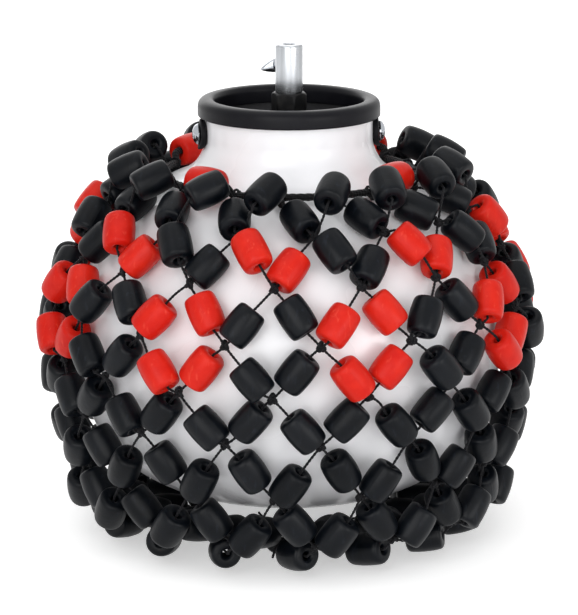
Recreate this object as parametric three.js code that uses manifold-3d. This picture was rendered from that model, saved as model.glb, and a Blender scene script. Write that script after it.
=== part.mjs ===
// Beaded gourd rattle that clamps on the rod of a hi-hat stand.
// Millimetres, +Z up, the rod runs along Z through the origin, the front of the object faces -Y.
import * as THREE from "three";
import { mergeVertices } from "three/addons/utils/BufferGeometryUtils.js";
import Module from "manifold-3d";

const wasm = await Module();
wasm.setup();

// Driving dimensions: clearances shared by every fit
const clearance = 0.3;
const cutOverrun = 2;

// Driving dimensions: gourd shell
const shellRadius = 114.2;
const shellDepth = 97.5;
const shoulderHeight = 74;
const neckRadius = 44.5;
const neckFootRise = 18;
const neckHeight = 20;
const shellWall = 3;
const bottomHoleRadius = 13;
// Outline below the neck, as shares of the shell's radius and, above or below its middle, of its height
const shoulderShares = [
  [0.407, 1.16],
  [0.444, 1.07],
  [0.508, 1.0],
  [0.582, 0.951],
  [0.683, 0.851],
  [0.788, 0.696],
  [0.898, 0.446],
  [0.981, 0.149],
];
const bellyShares = [
  [1.0, 0.133],
  [0.984, 0.379],
  [0.921, 0.626],
  [0.814, 0.79],
  [0.665, 0.908],
  [0.508, 0.974],
  [0.35, 1.0],
];

// Driving dimensions: rubber rim band and bottom grommet
const rimWall = 4.1;
const rimDrop = 6.5;
const rimHeight = 9.5;
const rimLip = 1.6;
const rimRound = 1.5;
const grommetBore = 8;
const grommetFlange = 4;
const grommetFlangeThickness = 2.5;

// Driving dimensions: bracket across the neck and its side bolts
const bracketTurnDegrees = -12.7;
const bracketWidth = 20;
const bracketThickness = 2.6;
const bracketDrop = 8;
const bracketEarDrop = 18;
const bracketEarGap = 1.6;
const boltDrop = 8;
const boltRadius = 2.5;
const boltHoleRadius = 3;
const washerRadius = 8.2;
const washerThickness = 3;
const boltHeadRadius = 5.6;
const boltHeadHeight = 3.6;
const innerWasherRadius = 4.6;
const innerWasherThickness = 1.2;
const boltNutAcross = 7.8;
const boltNutThickness = 5;
const boltTipProud = 2;

// Driving dimensions: rod clamp
const rodBoreRadius = 3.5;
const tubeRadius = 7.3;
const tubeBodyLength = 25.4;
const tubeEdge = 0.8;
const tubeShankRadius = 6;
const tubeShankProud = 7.2;
const hubNutAcross = 16.5;
const hubNutThickness = 11.5;
const hubNutEdge = 1.2;
const hubWasherRadius = 11;
const hubWasherThickness = 1.6;
const lockNutThickness = 6;

// Driving dimensions: wing screw
const wingScrewRise = 12.5;
const wingScrewRadius = 2.5;
const wingHubRadius = 4.6;
const wingHubLength = 8;
const wingHubGap = 3;
const wingSpan = 20;
const wingHeight = 9;
const wingThickness = 2.6;
const wingSweep = 3.5;
const wingFlatShare = 0.7;

// Driving dimensions: bead net
const columns = 16;
const beadRadius = 8.7;
const beadLength = 20.4;
const beadShoulder = 3.4;
const cordRadius = 0.6;
const knotRadius = 1.5;
const neckCordRadius = 2;
const bottomCordRadius = 1.2;
// A six-sided bead of the same section area as the round one has its corners this share further out
const beadCornerShare = 1.035;
// Where each row of knots lies along the outline, as a share of its length from the neck down
const rowPlaceShares = [0.121, 0.235, 0.334, 0.434, 0.527, 0.615, 0.722, 0.79, 0.87];
// How far each row stands off the shell beyond a bead that rests on it, as a share of the bead's radius
const rowHangShares = [0, 0.12, 0.2, 0.2, 0.2, 0.3, 0.5, 2.1, 0.9];
const bottomRingPlaceShare = 0.953;
const bottomRingHangShare = 0.3;
// Where the beads of each row sit on their leg of cord, from the upper knot: left legs, then right legs
const leftSlideShares = [0.365, 0.36, 0.66, 0.6, 0.48, 0.48, 0.66, 0.6];
const rightSlideShares = [0.655, 0.64, 0.48, 0.48, 0.66, 0.66, 0.51, 0.44];
// How far the crowded rows lift alternate beads, as a share of the bead's radius
const leftRaiseShares = [1.6, 0.6, 0.4, 0.55, 0, 0, 0.5, -0.6];
const rightRaiseShares = [0.3, 0, 0, 0, 0.2, 0.4, 0, 0.6];
const tailSlideShare = 0.48;
// Gaps between columns, counted from the front, where a red bead is threaded on the neck ring
const ringBeadGaps = [-3, 1, 5, -7];
const ringBeadShiftLength = 3.4;
const ringBeadOffsetLength = 0.9;

// Derived: shared places
const columnStep = (2 * Math.PI) / columns;
const halfStep = columnStep / 2;
const beadHalf = beadLength / 2;
const beadCorner = beadRadius * beadCornerShare;
const beadSeat = beadCorner + 2 * clearance;
const legRows = leftSlideShares.length;

const bracketTurn = THREE.MathUtils.degToRad(bracketTurnDegrees);

// Derived: heights on the neck, which stands on the shoulder and carries the rim band and the bracket
const neckFoot = shoulderHeight + neckFootRise;
const neckTop = neckFoot + neckHeight;
const rimBottom = neckTop - rimDrop;
const bracketTop = neckTop - bracketDrop;
const boltAxisHeight = bracketTop - boltDrop;

// Derived: the shell's outline below the neck, from the neck's foot to the flat of its bottom
function outlinePoints() {
  const upper = shoulderShares.map(([r, z]) => new THREE.Vector2(r * shellRadius, z * shoulderHeight));
  const lower = bellyShares.map(([r, z]) => new THREE.Vector2(r * shellRadius, -z * shellDepth));
  return [new THREE.Vector2(neckRadius, neckFoot), ...upper, ...lower];
}
const outline = new THREE.SplineCurve(outlinePoints());

function outlineNormal(place) {
  const along = outline.getTangentAt(place);
  return new THREE.Vector2(-along.y, along.x);
}

function besideOutline(place, distance) {
  return outline.getPointAt(place).addScaledVector(outlineNormal(place), distance);
}

// Materials
function material(color, roughness, metalness = 0) {
  return new THREE.MeshStandardMaterial({ color, roughness, metalness });
}
const glossWhite = material(0xf2f2f4, 0.15);
const blackRubber = material(0x1b1c20, 0.7);
const blackBead = material(0x24262b, 0.45);
const redBead = material(0xdd3024, 0.4);
const blackCord = material(0x101012, 0.9);
const chrome = material(0xd8dade, 0.12, 1);
const zincSteel = material(0xb4b6ba, 0.35, 1);
const blackMetal = material(0x17181b, 0.4, 0.6);

// Solids: helpers that pass closed geometries to and from the boolean library
function solidFrom(geometry) {
  const bare = geometry.clone();
  bare.deleteAttribute("normal");
  bare.deleteAttribute("uv");
  const merged = mergeVertices(bare);
  const index = merged.index ? merged.index.array : [...Array(merged.attributes.position.count).keys()];
  return new wasm.Manifold(new wasm.Mesh({
    numProp: 3,
    vertProperties: new Float32Array(merged.attributes.position.array),
    triVerts: new Uint32Array(index),
  }));
}

function geometryFrom(solid) {
  const mesh = solid.getMesh();
  const geometry = new THREE.BufferGeometry();
  geometry.setAttribute("position", new THREE.BufferAttribute(new Float32Array(mesh.vertProperties), 3));
  geometry.setIndex(new THREE.BufferAttribute(new Uint32Array(mesh.triVerts), 1));
  geometry.computeVertexNormals();
  return geometry;
}

function cut(geometry, ...cutters) {
  const whole = solidFrom(geometry);
  return geometryFrom(cutters.reduce((solid, cutter) => solid.subtract(solidFrom(cutter)), whole));
}

// A ring-shaped or round solid turned about Z from its half section, given as [radius, height] points
function turned(section, segments) {
  const points = section.map(([r, z]) => new THREE.Vector2(r, z));
  return new THREE.LatheGeometry([...points, points[0].clone()], segments).rotateX(Math.PI / 2);
}

// A cylinder along Z from one height to another, round or, with six segments, a nut's hexagon
function post(radius, from, to, segments) {
  return new THREE.CylinderGeometry(radius, radius, to - from, segments)
    .rotateX(Math.PI / 2)
    .translate(0, 0, (from + to) / 2);
}

function ringPlate(radius, bore, from, to, segments) {
  return turned([[bore, from], [radius, from], [radius, to], [bore, to]], segments);
}

function place(name, geometry, finish, parent) {
  const mesh = new THREE.Mesh(geometry, finish);
  mesh.name = name;
  parent.add(mesh);
  return mesh;
}

// Detail of round pieces, in segments
const shellSegments = 32;
const rimSegments = 28;
const smallSegments = 12;
const roundSegments = 24;
const nutSides = 6;
const wingCurveSteps = 3;
const cordSides = 3;
const beadSides = 6;
const bottomRingSides = 4;
const bottomRingSteps = 24;
const outlineSteps = 13;
const washedSteps = 5;

// The outline in steps, at a distance outside the shell's surface
function outlineSection(distance) {
  return Array.from({ length: outlineSteps + 1 }, (_, step) =>
    besideOutline(step / outlineSteps, distance).toArray());
}

// Gourd shell: a hollow body with an open neck, a hole for the rod and two holes for the side bolts
function gourdShell() {
  const outer = outlineSection(0);
  const inner = outlineSection(-shellWall);
  const floor = outer.at(-1)[1];
  const section = [
    [neckRadius, neckTop],
    ...outer,
    [bottomHoleRadius, floor],
    [bottomHoleRadius, floor + shellWall],
    ...inner.slice(0, -1).reverse(),
    [neckRadius - shellWall, neckTop],
  ];
  const boltHoles = post(boltHoleRadius, -neckRadius - cutOverrun, neckRadius + cutOverrun, smallSegments)
    .rotateY(Math.PI / 2)
    .rotateZ(bracketTurn)
    .translate(0, 0, boltAxisHeight);
  return cut(turned(section.reverse(), shellSegments), boltHoles);
}

// Rubber rim band: a channel pushed over the neck's edge
function rimBand() {
  const top = rimBottom + rimHeight;
  const grooveOuter = neckRadius + clearance;
  const grooveInner = neckRadius - shellWall - clearance;
  const lipRadius = grooveInner - rimLip;
  const rimRadius = neckRadius + rimWall;
  const section = [
    [grooveOuter, rimBottom],
    [rimRadius - rimRound, rimBottom],
    [rimRadius, rimBottom + rimRound],
    [rimRadius, top - rimRound],
    [rimRadius - rimRound, top],
    [lipRadius + rimRound, top],
    [lipRadius, top - rimRound],
    [lipRadius, rimBottom],
    [grooveInner, rimBottom],
    [grooveInner, neckTop + clearance],
    [grooveOuter, neckTop + clearance],
  ];
  return turned(section, rimSegments);
}

// Bottom grommet: a rubber ring that lines the rod's hole in the shell's floor
function bottomGrommet() {
  const floorBelow = -shellDepth - clearance;
  const floorAbove = -shellDepth + shellWall + clearance;
  const neck = bottomHoleRadius - clearance;
  const flange = bottomHoleRadius + grommetFlange;
  const section = [
    [grommetBore, floorBelow - grommetFlangeThickness],
    [flange, floorBelow - grommetFlangeThickness],
    [flange, floorBelow],
    [neck, floorBelow],
    [neck, floorAbove],
    [flange, floorAbove],
    [flange, floorAbove + grommetFlangeThickness],
    [grommetBore, floorAbove + grommetFlangeThickness],
  ];
  return turned(section, roundSegments);
}

// Bracket: a U of flat bar across the neck, with a hole for the clamp tube and one in each ear
const earOuter = neckRadius - shellWall - bracketEarGap;
function neckBracket() {
  const under = bracketTop - bracketThickness;
  const earInner = earOuter - bracketThickness;
  const foot = bracketTop - bracketEarDrop;
  const shape = new THREE.Shape();
  shape.moveTo(-earOuter, foot);
  shape.lineTo(-earInner, foot);
  shape.lineTo(-earInner, under);
  shape.lineTo(earInner, under);
  shape.lineTo(earInner, foot);
  shape.lineTo(earOuter, foot);
  shape.lineTo(earOuter, bracketTop);
  shape.lineTo(-earOuter, bracketTop);
  const bar = new THREE.ExtrudeGeometry(shape, { depth: bracketWidth, bevelEnabled: false })
    .translate(0, 0, -bracketWidth / 2)
    .rotateX(Math.PI / 2);
  const shankHole = tubeShankRadius + clearance;
  const tubeHole = post(shankHole, under - cutOverrun, bracketTop + cutOverrun, smallSegments);
  const earHoles = post(boltRadius + clearance, -earOuter - cutOverrun, earOuter + cutOverrun, smallSegments)
    .rotateY(Math.PI / 2)
    .translate(0, 0, boltAxisHeight);
  return cut(bar, tubeHole, earHoles);
}

// Side fasteners, drawn along +X with the bolt's axis at the origin's height
const washerInner = neckRadius;
const washerOuter = neckRadius + clearance + washerThickness;
const innerWasherOuter = earOuter - bracketThickness - clearance;
const innerWasherInner = innerWasherOuter - innerWasherThickness;
const boltNutOuter = innerWasherInner - clearance;
const boltNutInner = boltNutOuter - boltNutThickness;

function alongX(geometry) {
  return geometry.rotateY(Math.PI / 2);
}

// The neck and shoulder, larger all round by the clearance, for what is pressed against them
function neckWithClearance() {
  const shoulder = outlineSection(clearance).slice(0, washedSteps);
  const section = [[0, neckTop], [neckRadius + clearance, neckTop], ...shoulder, [0, shoulder.at(-1)[1]]];
  return turned(section.reverse(), shellSegments);
}

function sideWasher() {
  const disc = alongX(ringPlate(washerRadius, boltRadius + clearance, washerInner - cutOverrun, washerOuter,
    roundSegments));
  return cut(disc, neckWithClearance().translate(0, 0, -boltAxisHeight));
}

function sideBolt() {
  const seat = washerOuter + clearance;
  const tip = boltNutInner - boltTipProud;
  const rise = boltHeadHeight / 2;
  const section = [
    [0, tip],
    [boltRadius, tip],
    [boltRadius, seat],
    [boltHeadRadius, seat],
    [boltHeadRadius * Math.cos(Math.PI / 6), seat + rise],
    [boltHeadRadius / 2, seat + rise + rise * Math.sin(Math.PI / 4)],
    [0, seat + boltHeadHeight],
  ];
  return alongX(turned(section, smallSegments));
}

function innerWasher() {
  return alongX(ringPlate(innerWasherRadius, boltRadius + clearance, innerWasherInner, innerWasherOuter,
    smallSegments));
}

// A hexagon nut about Z, with its size measured across the flats
function hexNut(across, bore, from, to) {
  const hexagon = post(across / 2 / Math.cos(Math.PI / nutSides), from, to, nutSides);
  return cut(hexagon, post(bore, from - cutOverrun, to + cutOverrun, smallSegments));
}

function boltNut() {
  return alongX(hexNut(boltNutAcross, boltRadius + clearance, boltNutInner, boltNutOuter));
}

// Rod clamp: a bored tube held in the bracket between a washer, a tall hub nut and a lock nut
const hubWasherBottom = bracketTop + clearance;
const hubNutBottom = hubWasherBottom + hubWasherThickness + clearance;
const hubNutTop = hubNutBottom + hubNutThickness;
const tubeShoulder = hubNutTop + clearance;
const tubeTop = tubeShoulder + tubeBodyLength;
const wingScrewHeight = tubeShoulder + wingScrewRise;
const lockWasherTop = bracketTop - bracketThickness - clearance;
const lockNutTop = lockWasherTop - hubWasherThickness - clearance;
const lockNutBottom = lockNutTop - lockNutThickness;
const tubeShankBottom = lockNutBottom - tubeShankProud;

function clampTube() {
  const section = [
    [rodBoreRadius, tubeShankBottom],
    [tubeShankRadius, tubeShankBottom],
    [tubeShankRadius, tubeShoulder],
    [tubeRadius, tubeShoulder],
    [tubeRadius, tubeTop - tubeEdge],
    [tubeRadius - tubeEdge, tubeTop],
    [rodBoreRadius, tubeTop],
  ];
  const screwHole = post(wingScrewRadius + clearance, 0, tubeRadius + cutOverrun, smallSegments)
    .rotateX(-Math.PI / 2)
    .translate(0, 0, wingScrewHeight);
  return cut(turned(section, roundSegments), screwHole);
}

function hubNut() {
  const corner = hubNutAcross / 2 / Math.cos(Math.PI / nutSides);
  const body = post(corner, hubNutBottom, hubNutTop, nutSides);
  const crown = turned([
    [0, hubNutBottom],
    [corner, hubNutBottom],
    [corner, hubNutTop - hubNutEdge],
    [hubNutAcross / 2, hubNutTop],
    [0, hubNutTop],
  ], roundSegments);
  const shaped = solidFrom(body).intersect(solidFrom(crown));
  const shankHole = tubeShankRadius + clearance;
  const bore = post(shankHole, hubNutBottom - cutOverrun, hubNutTop + cutOverrun, smallSegments);
  return geometryFrom(shaped.subtract(solidFrom(bore)));
}

function hubWasher(top) {
  const shankHole = tubeShankRadius + clearance;
  return ringPlate(hubWasherRadius, shankHole, top - hubWasherThickness, top, roundSegments);
}

function lockNut() {
  return hexNut(hubNutAcross, tubeShankRadius + clearance, lockNutBottom, lockNutTop);
}

// Wing screw: along +Y behind the tube, its wings swept back and level at rest
function wingScrew() {
  const tip = rodBoreRadius + clearance;
  const hubStart = tubeRadius + wingHubGap;
  const hubEnd = hubStart + wingHubLength;
  const shank = turned([
    [0, tip],
    [wingScrewRadius, tip],
    [wingScrewRadius, hubStart],
    [wingHubRadius, hubStart],
    [wingHubRadius, hubEnd - wingHubLength / 4],
    [wingHubRadius / 2, hubEnd],
    [0, hubEnd],
  ], smallSegments).rotateX(-Math.PI / 2);
  const half = wingSpan / 2;
  const root = wingHeight / 4;
  const outlineOfWings = new THREE.Shape();
  outlineOfWings.moveTo(-half, root);
  outlineOfWings.quadraticCurveTo(-half, wingHeight / 2, -half * wingFlatShare, wingHeight / 2);
  outlineOfWings.quadraticCurveTo(-half / 2, wingHeight / 2, 0, root);
  outlineOfWings.quadraticCurveTo(half / 2, wingHeight / 2, half * wingFlatShare, wingHeight / 2);
  outlineOfWings.quadraticCurveTo(half, wingHeight / 2, half, root);
  outlineOfWings.lineTo(half, -root);
  outlineOfWings.quadraticCurveTo(half, -wingHeight / 2, half * wingFlatShare, -wingHeight / 2);
  outlineOfWings.quadraticCurveTo(half / 2, -wingHeight / 2, 0, -root);
  outlineOfWings.quadraticCurveTo(-half / 2, -wingHeight / 2, -half * wingFlatShare, -wingHeight / 2);
  outlineOfWings.quadraticCurveTo(-half, -wingHeight / 2, -half, -root);
  const plate = new THREE.ExtrudeGeometry(outlineOfWings, {
    depth: wingThickness, bevelEnabled: false, curveSegments: wingCurveSteps,
  });
  const spots = plate.attributes.position;
  const middle = hubStart + wingHubLength / 2 - wingThickness / 2;
  for (let i = 0; i < spots.count; i += 1) {
    const sweep = wingSweep * Math.abs(spots.getX(i)) / half;
    spots.setXYZ(i, spots.getX(i), middle + spots.getZ(i) + sweep, spots.getY(i));
  }
  const flipped = solidFromFlipped(plate);
  return geometryFrom(solidFrom(shank).add(flipped)).translate(0, 0, wingScrewHeight);
}

// The swap of two axes turns a solid inside out, so its triangles are reversed before use
function solidFromFlipped(geometry) {
  const bare = geometry.clone();
  bare.deleteAttribute("normal");
  bare.deleteAttribute("uv");
  const merged = mergeVertices(bare);
  const index = Array.from(merged.index.array);
  for (let i = 0; i < index.length; i += 3) {
    [index[i], index[i + 1]] = [index[i + 1], index[i]];
  }
  merged.setIndex(index);
  return solidFrom(merged);
}

// Bead net: places in it are given by an angle from the front, a radius and a height
function polar(angle, radius, height) {
  return new THREE.Vector3(radius * Math.sin(angle), -radius * Math.cos(angle), height);
}

// Ring of cord round the neck: it stands off the shell by the loops that pass under it
const loopRadius = neckCordRadius + clearance + cordRadius;
const neckRingLift = loopRadius + cordRadius + clearance;
const neckRingLine = besideOutline(rowPlaceShares[0], neckRingLift);
const bottomLoopRadius = bottomCordRadius + clearance + cordRadius;
const bottomRingLine = besideOutline(bottomRingPlaceShare, beadSeat + bottomRingHangShare * beadRadius);

function rowLine(row) {
  if (row === 0) return neckRingLine;
  return besideOutline(rowPlaceShares[row], beadSeat + rowHangShares[row] * beadRadius);
}

function outward(angle, placeShare) {
  const normal = outlineNormal(placeShare);
  return polar(angle, normal.x, normal.y);
}

// A ring of points square to a direction, its first point towards the given side
function sectionRing(centre, along, side, radius, sides) {
  const forward = along.clone().normalize();
  const first = side.clone().addScaledVector(forward, -side.dot(forward)).normalize();
  const second = new THREE.Vector3().crossVectors(forward, first);
  return Array.from({ length: sides }, (_, i) => {
    const angle = (2 * Math.PI * i) / sides;
    return centre.clone()
      .addScaledVector(first, radius * Math.cos(angle))
      .addScaledVector(second, radius * Math.sin(angle));
  });
}

// Triangles between two rings, where a ring of six may meet a ring of three
function bridge(a, b, countA, countB) {
  const faces = [];
  if (countA === countB) {
    for (let i = 0; i < countA; i += 1) {
      const j = (i + 1) % countA;
      faces.push([a + i, a + j, b + i], [a + j, b + j, b + i]);
    }
  } else if (countA < countB) {
    for (let i = 0; i < countA; i += 1) {
      const j = (i + 1) % countA;
      const wide = 2 * i;
      const last = (wide + 2) % countB;
      const mid = b + wide + 1;
      faces.push([a + i, mid, b + wide], [a + i, a + j, mid], [a + j, b + last, mid]);
    }
  } else {
    bridge(b, a, countB, countA).forEach(([p, q, r]) => faces.push([q, p, r]));
  }
  return faces;
}

// A closed solid through a chain of rings; a closed chain has no caps
function loft(rings, closedChain = false) {
  const starts = [];
  const points = [];
  rings.forEach((ring) => {
    starts.push(points.length / 3);
    ring.forEach((p) => points.push(p.x, p.y, p.z));
  });
  const faces = [];
  const bands = closedChain ? rings.length : rings.length - 1;
  for (let i = 0; i < bands; i += 1) {
    const next = (i + 1) % rings.length;
    faces.push(...bridge(starts[i], starts[next], rings[i].length, rings[next].length));
  }
  if (!closedChain) {
    const last = starts.at(-1);
    for (let i = 1; i < rings[0].length - 1; i += 1) faces.push([0, i + 1, i]);
    for (let i = 1; i < rings.at(-1).length - 1; i += 1) faces.push([last, last + i, last + i + 1]);
  }
  return new wasm.Manifold(new wasm.Mesh({
    numProp: 3,
    vertProperties: new Float32Array(points),
    triVerts: new Uint32Array(faces.flat()),
  }));
}

// The rings of one bead: the cord enters it, it swells over its shoulder, runs straight and closes
function beadRings(centre, along, side) {
  const at = (distance) => centre.clone().addScaledVector(along, distance);
  return [
    sectionRing(at(-beadHalf), along, side, cordRadius, cordSides),
    sectionRing(at(beadShoulder - beadHalf), along, side, beadCorner, beadSides),
    sectionRing(at(beadHalf - beadShoulder), along, side, beadCorner, beadSides),
    sectionRing(at(beadHalf), along, side, cordRadius, cordSides),
  ];
}

// Half of the loop that hangs a strand on a ring of cord, from its knot round to the far side
const loopTurnShares = [0.28, 0.52, 0.76, 1.06];
function halfLoopRings(centre, toKnot, up, radius, hand) {
  const sideways = new THREE.Vector3().crossVectors(toKnot, up).normalize();
  const middle = centre.clone().addScaledVector(sideways, hand * cordRadius / 2);
  return loopTurnShares.map((share) => {
    const turn = Math.PI * share;
    const spoke = toKnot.clone().multiplyScalar(Math.cos(turn))
      .addScaledVector(up, hand * Math.sin(turn));
    const along = toKnot.clone().multiplyScalar(-Math.sin(turn))
      .addScaledVector(up, hand * Math.cos(turn));
    return sectionRing(middle.clone().addScaledVector(spoke, radius), along, spoke, cordRadius, cordSides);
  });
}

// Knots of one leg: legs of a strand meet at even rows and neighbouring strands meet at odd rows
function legKnot(hand, row, topAngle) {
  const line = rowLine(row);
  if (row === 0) {
    const down = outline.getTangentAt(rowPlaceShares[0]).multiplyScalar(loopRadius + knotRadius);
    const spot = line.clone().add(down);
    return polar(topAngle + hand * knotRadius / 2 / spot.x, spot.x, spot.y);
  }
  const reach = row % 2 === 1 ? halfStep * line.x - knotRadius - clearance / 2 : knotRadius / 2;
  return polar(hand * reach / line.x, line.x, line.y);
}

const slideShares = { "-1": leftSlideShares, 1: rightSlideShares };
const raiseShares = { "-1": leftRaiseShares, 1: rightRaiseShares };

function beadPlace(hand, row, topAngle) {
  const from = legKnot(hand, row, topAngle);
  const to = legKnot(hand, row + 1, topAngle);
  const along = to.clone().sub(from).normalize();
  const middle = (rowPlaceShares[row] + rowPlaceShares[row + 1]) / 2;
  const side = outward(hand * halfStep / 2, middle);
  side.addScaledVector(along, -side.dot(along)).normalize();
  const centre = from.clone().lerp(to, slideShares[hand][row])
    .addScaledVector(side, raiseShares[hand][row] * beadRadius);
  return { centre, along, side };
}

function legSolid(hand, topAngle) {
  const ringCentre = polar(topAngle, neckRingLine.x, neckRingLine.y);
  const tangent = outline.getTangentAt(rowPlaceShares[0]);
  const toKnot = polar(topAngle, tangent.x, tangent.y);
  const up = outward(topAngle, rowPlaceShares[0]);
  const rings = halfLoopRings(ringCentre, toKnot, up, loopRadius, hand).reverse()
    .map((ring) => [ring[0], ring[2], ring[1]]);
  for (let row = 0; row < legRows; row += 1) {
    const bead = beadPlace(hand, row, topAngle);
    const before = row === 0 ? toKnot : beadPlace(hand, row - 1, topAngle).along;
    const side = outward(0, rowPlaceShares[row]);
    const through = before.clone().add(bead.along);
    rings.push(sectionRing(legKnot(hand, row, topAngle), through, side, knotRadius, cordSides));
    rings.push(...beadRings(bead.centre, bead.along, bead.side));
  }
  const last = beadPlace(hand, legRows - 1, topAngle);
  rings.push(sectionRing(legKnot(hand, legRows, topAngle), last.along, last.side, knotRadius, cordSides));
  return loft(rings);
}

// The two cord ends of a strand share one last bead and loop round the bottom ring
function tailSolids() {
  const start = rowLine(legRows);
  const tangent = bottomRingLine.clone().sub(start).normalize();
  const toKnot = polar(0, -tangent.x, -tangent.y);
  const along = toKnot.clone().negate();
  const up = polar(0, -tangent.y, tangent.x).negate();
  const centre = polar(0, bottomRingLine.x, bottomRingLine.y);
  const from = polar(0, start.x, start.y);
  const knot = centre.clone().addScaledVector(toKnot, bottomLoopRadius + knotRadius);
  const bead = beadRings(from.clone().lerp(knot, tailSlideShare), along, up);
  const knotRing = sectionRing(knot, along, up, knotRadius, cordSides);
  const loops = [-1, 1].map((hand) => halfLoopRings(centre, toKnot, up, bottomLoopRadius, hand));
  return [
    loft([sectionRing(from, along, up, knotRadius, cordSides), ...bead, knotRing, ...loops[1]]),
    loft([knotRing, ...loops[0]]),
  ];
}

function strand(topShift) {
  const solids = [legSolid(1, topShift), legSolid(-1, topShift), ...tailSolids()];
  return geometryFrom(solids.reduce((whole, solid) => whole.add(solid)));
}

// Neck ring: it runs level from loop to loop and climbs to pass through the red beads on it
const ringBeadLift = beadCorner + clearance - neckRingLift;
const ringShiftAngle = ringBeadShiftLength / neckRingLine.x;
const ringBeadSpread = (beadHalf + clearance) / neckRingLine.x;
const loopFlat = (cordRadius + knotRadius) / neckRingLine.x;

function wrapColumn(column) {
  return ((column % columns) + columns) % columns;
}
const beadGapSet = new Set(ringBeadGaps.map(wrapColumn));

function topShiftOf(column) {
  const after = beadGapSet.has(wrapColumn(column)) ? -1 : 0;
  const before = beadGapSet.has(wrapColumn(column - 1)) ? 1 : 0;
  return (after + before) * ringShiftAngle;
}

function ringSpot(angle, lift) {
  const normal = outlineNormal(rowPlaceShares[0]);
  const line = neckRingLine.clone().addScaledVector(normal, lift);
  return polar(angle, line.x, line.y);
}

function ringBeadAngle(gap) {
  return (gap + 1 / 2) * columnStep - ringBeadOffsetLength / neckRingLine.x;
}

function neckRing() {
  const spots = [];
  for (let column = 0; column < columns; column += 1) {
    const here = column * columnStep + topShiftOf(column);
    const next = (column + 1) * columnStep + topShiftOf(column + 1);
    spots.push(ringSpot(here - loopFlat, 0), ringSpot(here + loopFlat, 0));
    if (beadGapSet.has(column)) {
      const middle = ringBeadAngle(column);
      spots.push(ringSpot(middle - ringBeadSpread, ringBeadLift));
      spots.push(ringSpot(middle + ringBeadSpread, ringBeadLift));
    } else {
      spots.push(ringSpot((here + next) / 2, 0));
    }
  }
  const rings = spots.map((spot, i) => {
    const before = spots.at(i - 1);
    const after = spots[(i + 1) % spots.length];
    const along = after.clone().sub(spot).normalize().add(spot.clone().sub(before).normalize());
    const around = Math.atan2(spot.x, -spot.y);
    return sectionRing(spot, along, outward(around, rowPlaceShares[0]), neckCordRadius, beadSides);
  });
  return geometryFrom(loft(rings, true));
}

// A red bead threaded on the neck ring, bored wide enough for the thick cord
function ringBead(gap) {
  const angle = ringBeadAngle(gap);
  const along = polar(angle + Math.PI / 2, 1, 0);
  const side = outward(angle, rowPlaceShares[0]);
  const from = ringSpot(angle - ringBeadSpread, ringBeadLift);
  const to = ringSpot(angle + ringBeadSpread, ringBeadLift);
  const centre = from.clone().add(to).multiplyScalar(1 / 2);
  const at = (distance) => centre.clone().addScaledVector(along, distance);
  const mouth = beadCorner - beadShoulder;
  const body = loft([
    sectionRing(at(-beadHalf), along, side, mouth, beadSides),
    sectionRing(at(beadShoulder - beadHalf), along, side, beadCorner, beadSides),
    sectionRing(at(beadHalf - beadShoulder), along, side, beadCorner, beadSides),
    sectionRing(at(beadHalf), along, side, mouth, beadSides),
  ]);
  const boreRadius = neckCordRadius + 2 * clearance;
  const bore = loft([-beadHalf - cutOverrun, beadHalf + cutOverrun]
    .map((distance) => sectionRing(at(distance), along, side, boreRadius, beadSides)));
  return geometryFrom(body.subtract(bore));
}

// Bottom ring: a plain closed cord that gathers the strands below the shell
function bottomRing() {
  const rings = [];
  for (let i = 0; i < bottomRingSteps; i += 1) {
    const angle = (2 * Math.PI * i) / bottomRingSteps;
    const along = polar(angle + Math.PI / 2, 1, 0);
    const centre = polar(angle, bottomRingLine.x, bottomRingLine.y);
    rings.push(sectionRing(centre, along, new THREE.Vector3(0, 0, 1), bottomCordRadius, bottomRingSides));
  }
  return geometryFrom(loft(rings, true));
}

// Assembly
const shaker = new THREE.Group();
place("gourd_shell", gourdShell(), glossWhite, shaker);
place("rim_band", rimBand(), blackRubber, shaker);
place("bottom_grommet", bottomGrommet(), blackRubber, shaker);
place("neck_bracket", neckBracket(), zincSteel, shaker).rotation.z = bracketTurn;
place("clamp_tube", clampTube(), chrome, shaker);
place("hub_nut", hubNut(), blackMetal, shaker);
place("hub_washer", hubWasher(hubWasherBottom + hubWasherThickness), blackMetal, shaker);
place("lock_washer", hubWasher(lockWasherTop), zincSteel, shaker);
place("lock_nut", lockNut(), zincSteel, shaker);
place("wing_screw", wingScrew(), chrome, shaker);

for (const [name, turn] of [["left", Math.PI], ["right", 0]]) {
  const fasteners = new THREE.Group();
  fasteners.position.z = boltAxisHeight;
  fasteners.rotation.z = turn + bracketTurn;
  shaker.add(fasteners);
  place(`${name}_side_washer`, sideWasher(), blackRubber, fasteners);
  place(`${name}_side_bolt`, sideBolt(), chrome, fasteners);
  place(`${name}_inner_washer`, innerWasher(), zincSteel, fasteners);
  place(`${name}_bolt_nut`, boltNut(), zincSteel, fasteners);
}

place("neck_ring", neckRing(), blackCord, shaker);
place("bottom_ring", bottomRing(), blackCord, shaker);
ringBeadGaps.forEach((gap, i) => place(`ring_bead_${i + 1}`, ringBead(gap), redBead, shaker));
for (let column = 0; column < columns; column += 1) {
  const label = String(column + 1).padStart(2, "0");
  const mesh = place(`bead_strand_${label}`, strand(topShiftOf(column)), blackBead, shaker);
  mesh.rotation.z = column * columnStep;
}

export default shaker;
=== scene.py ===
import math

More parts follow.
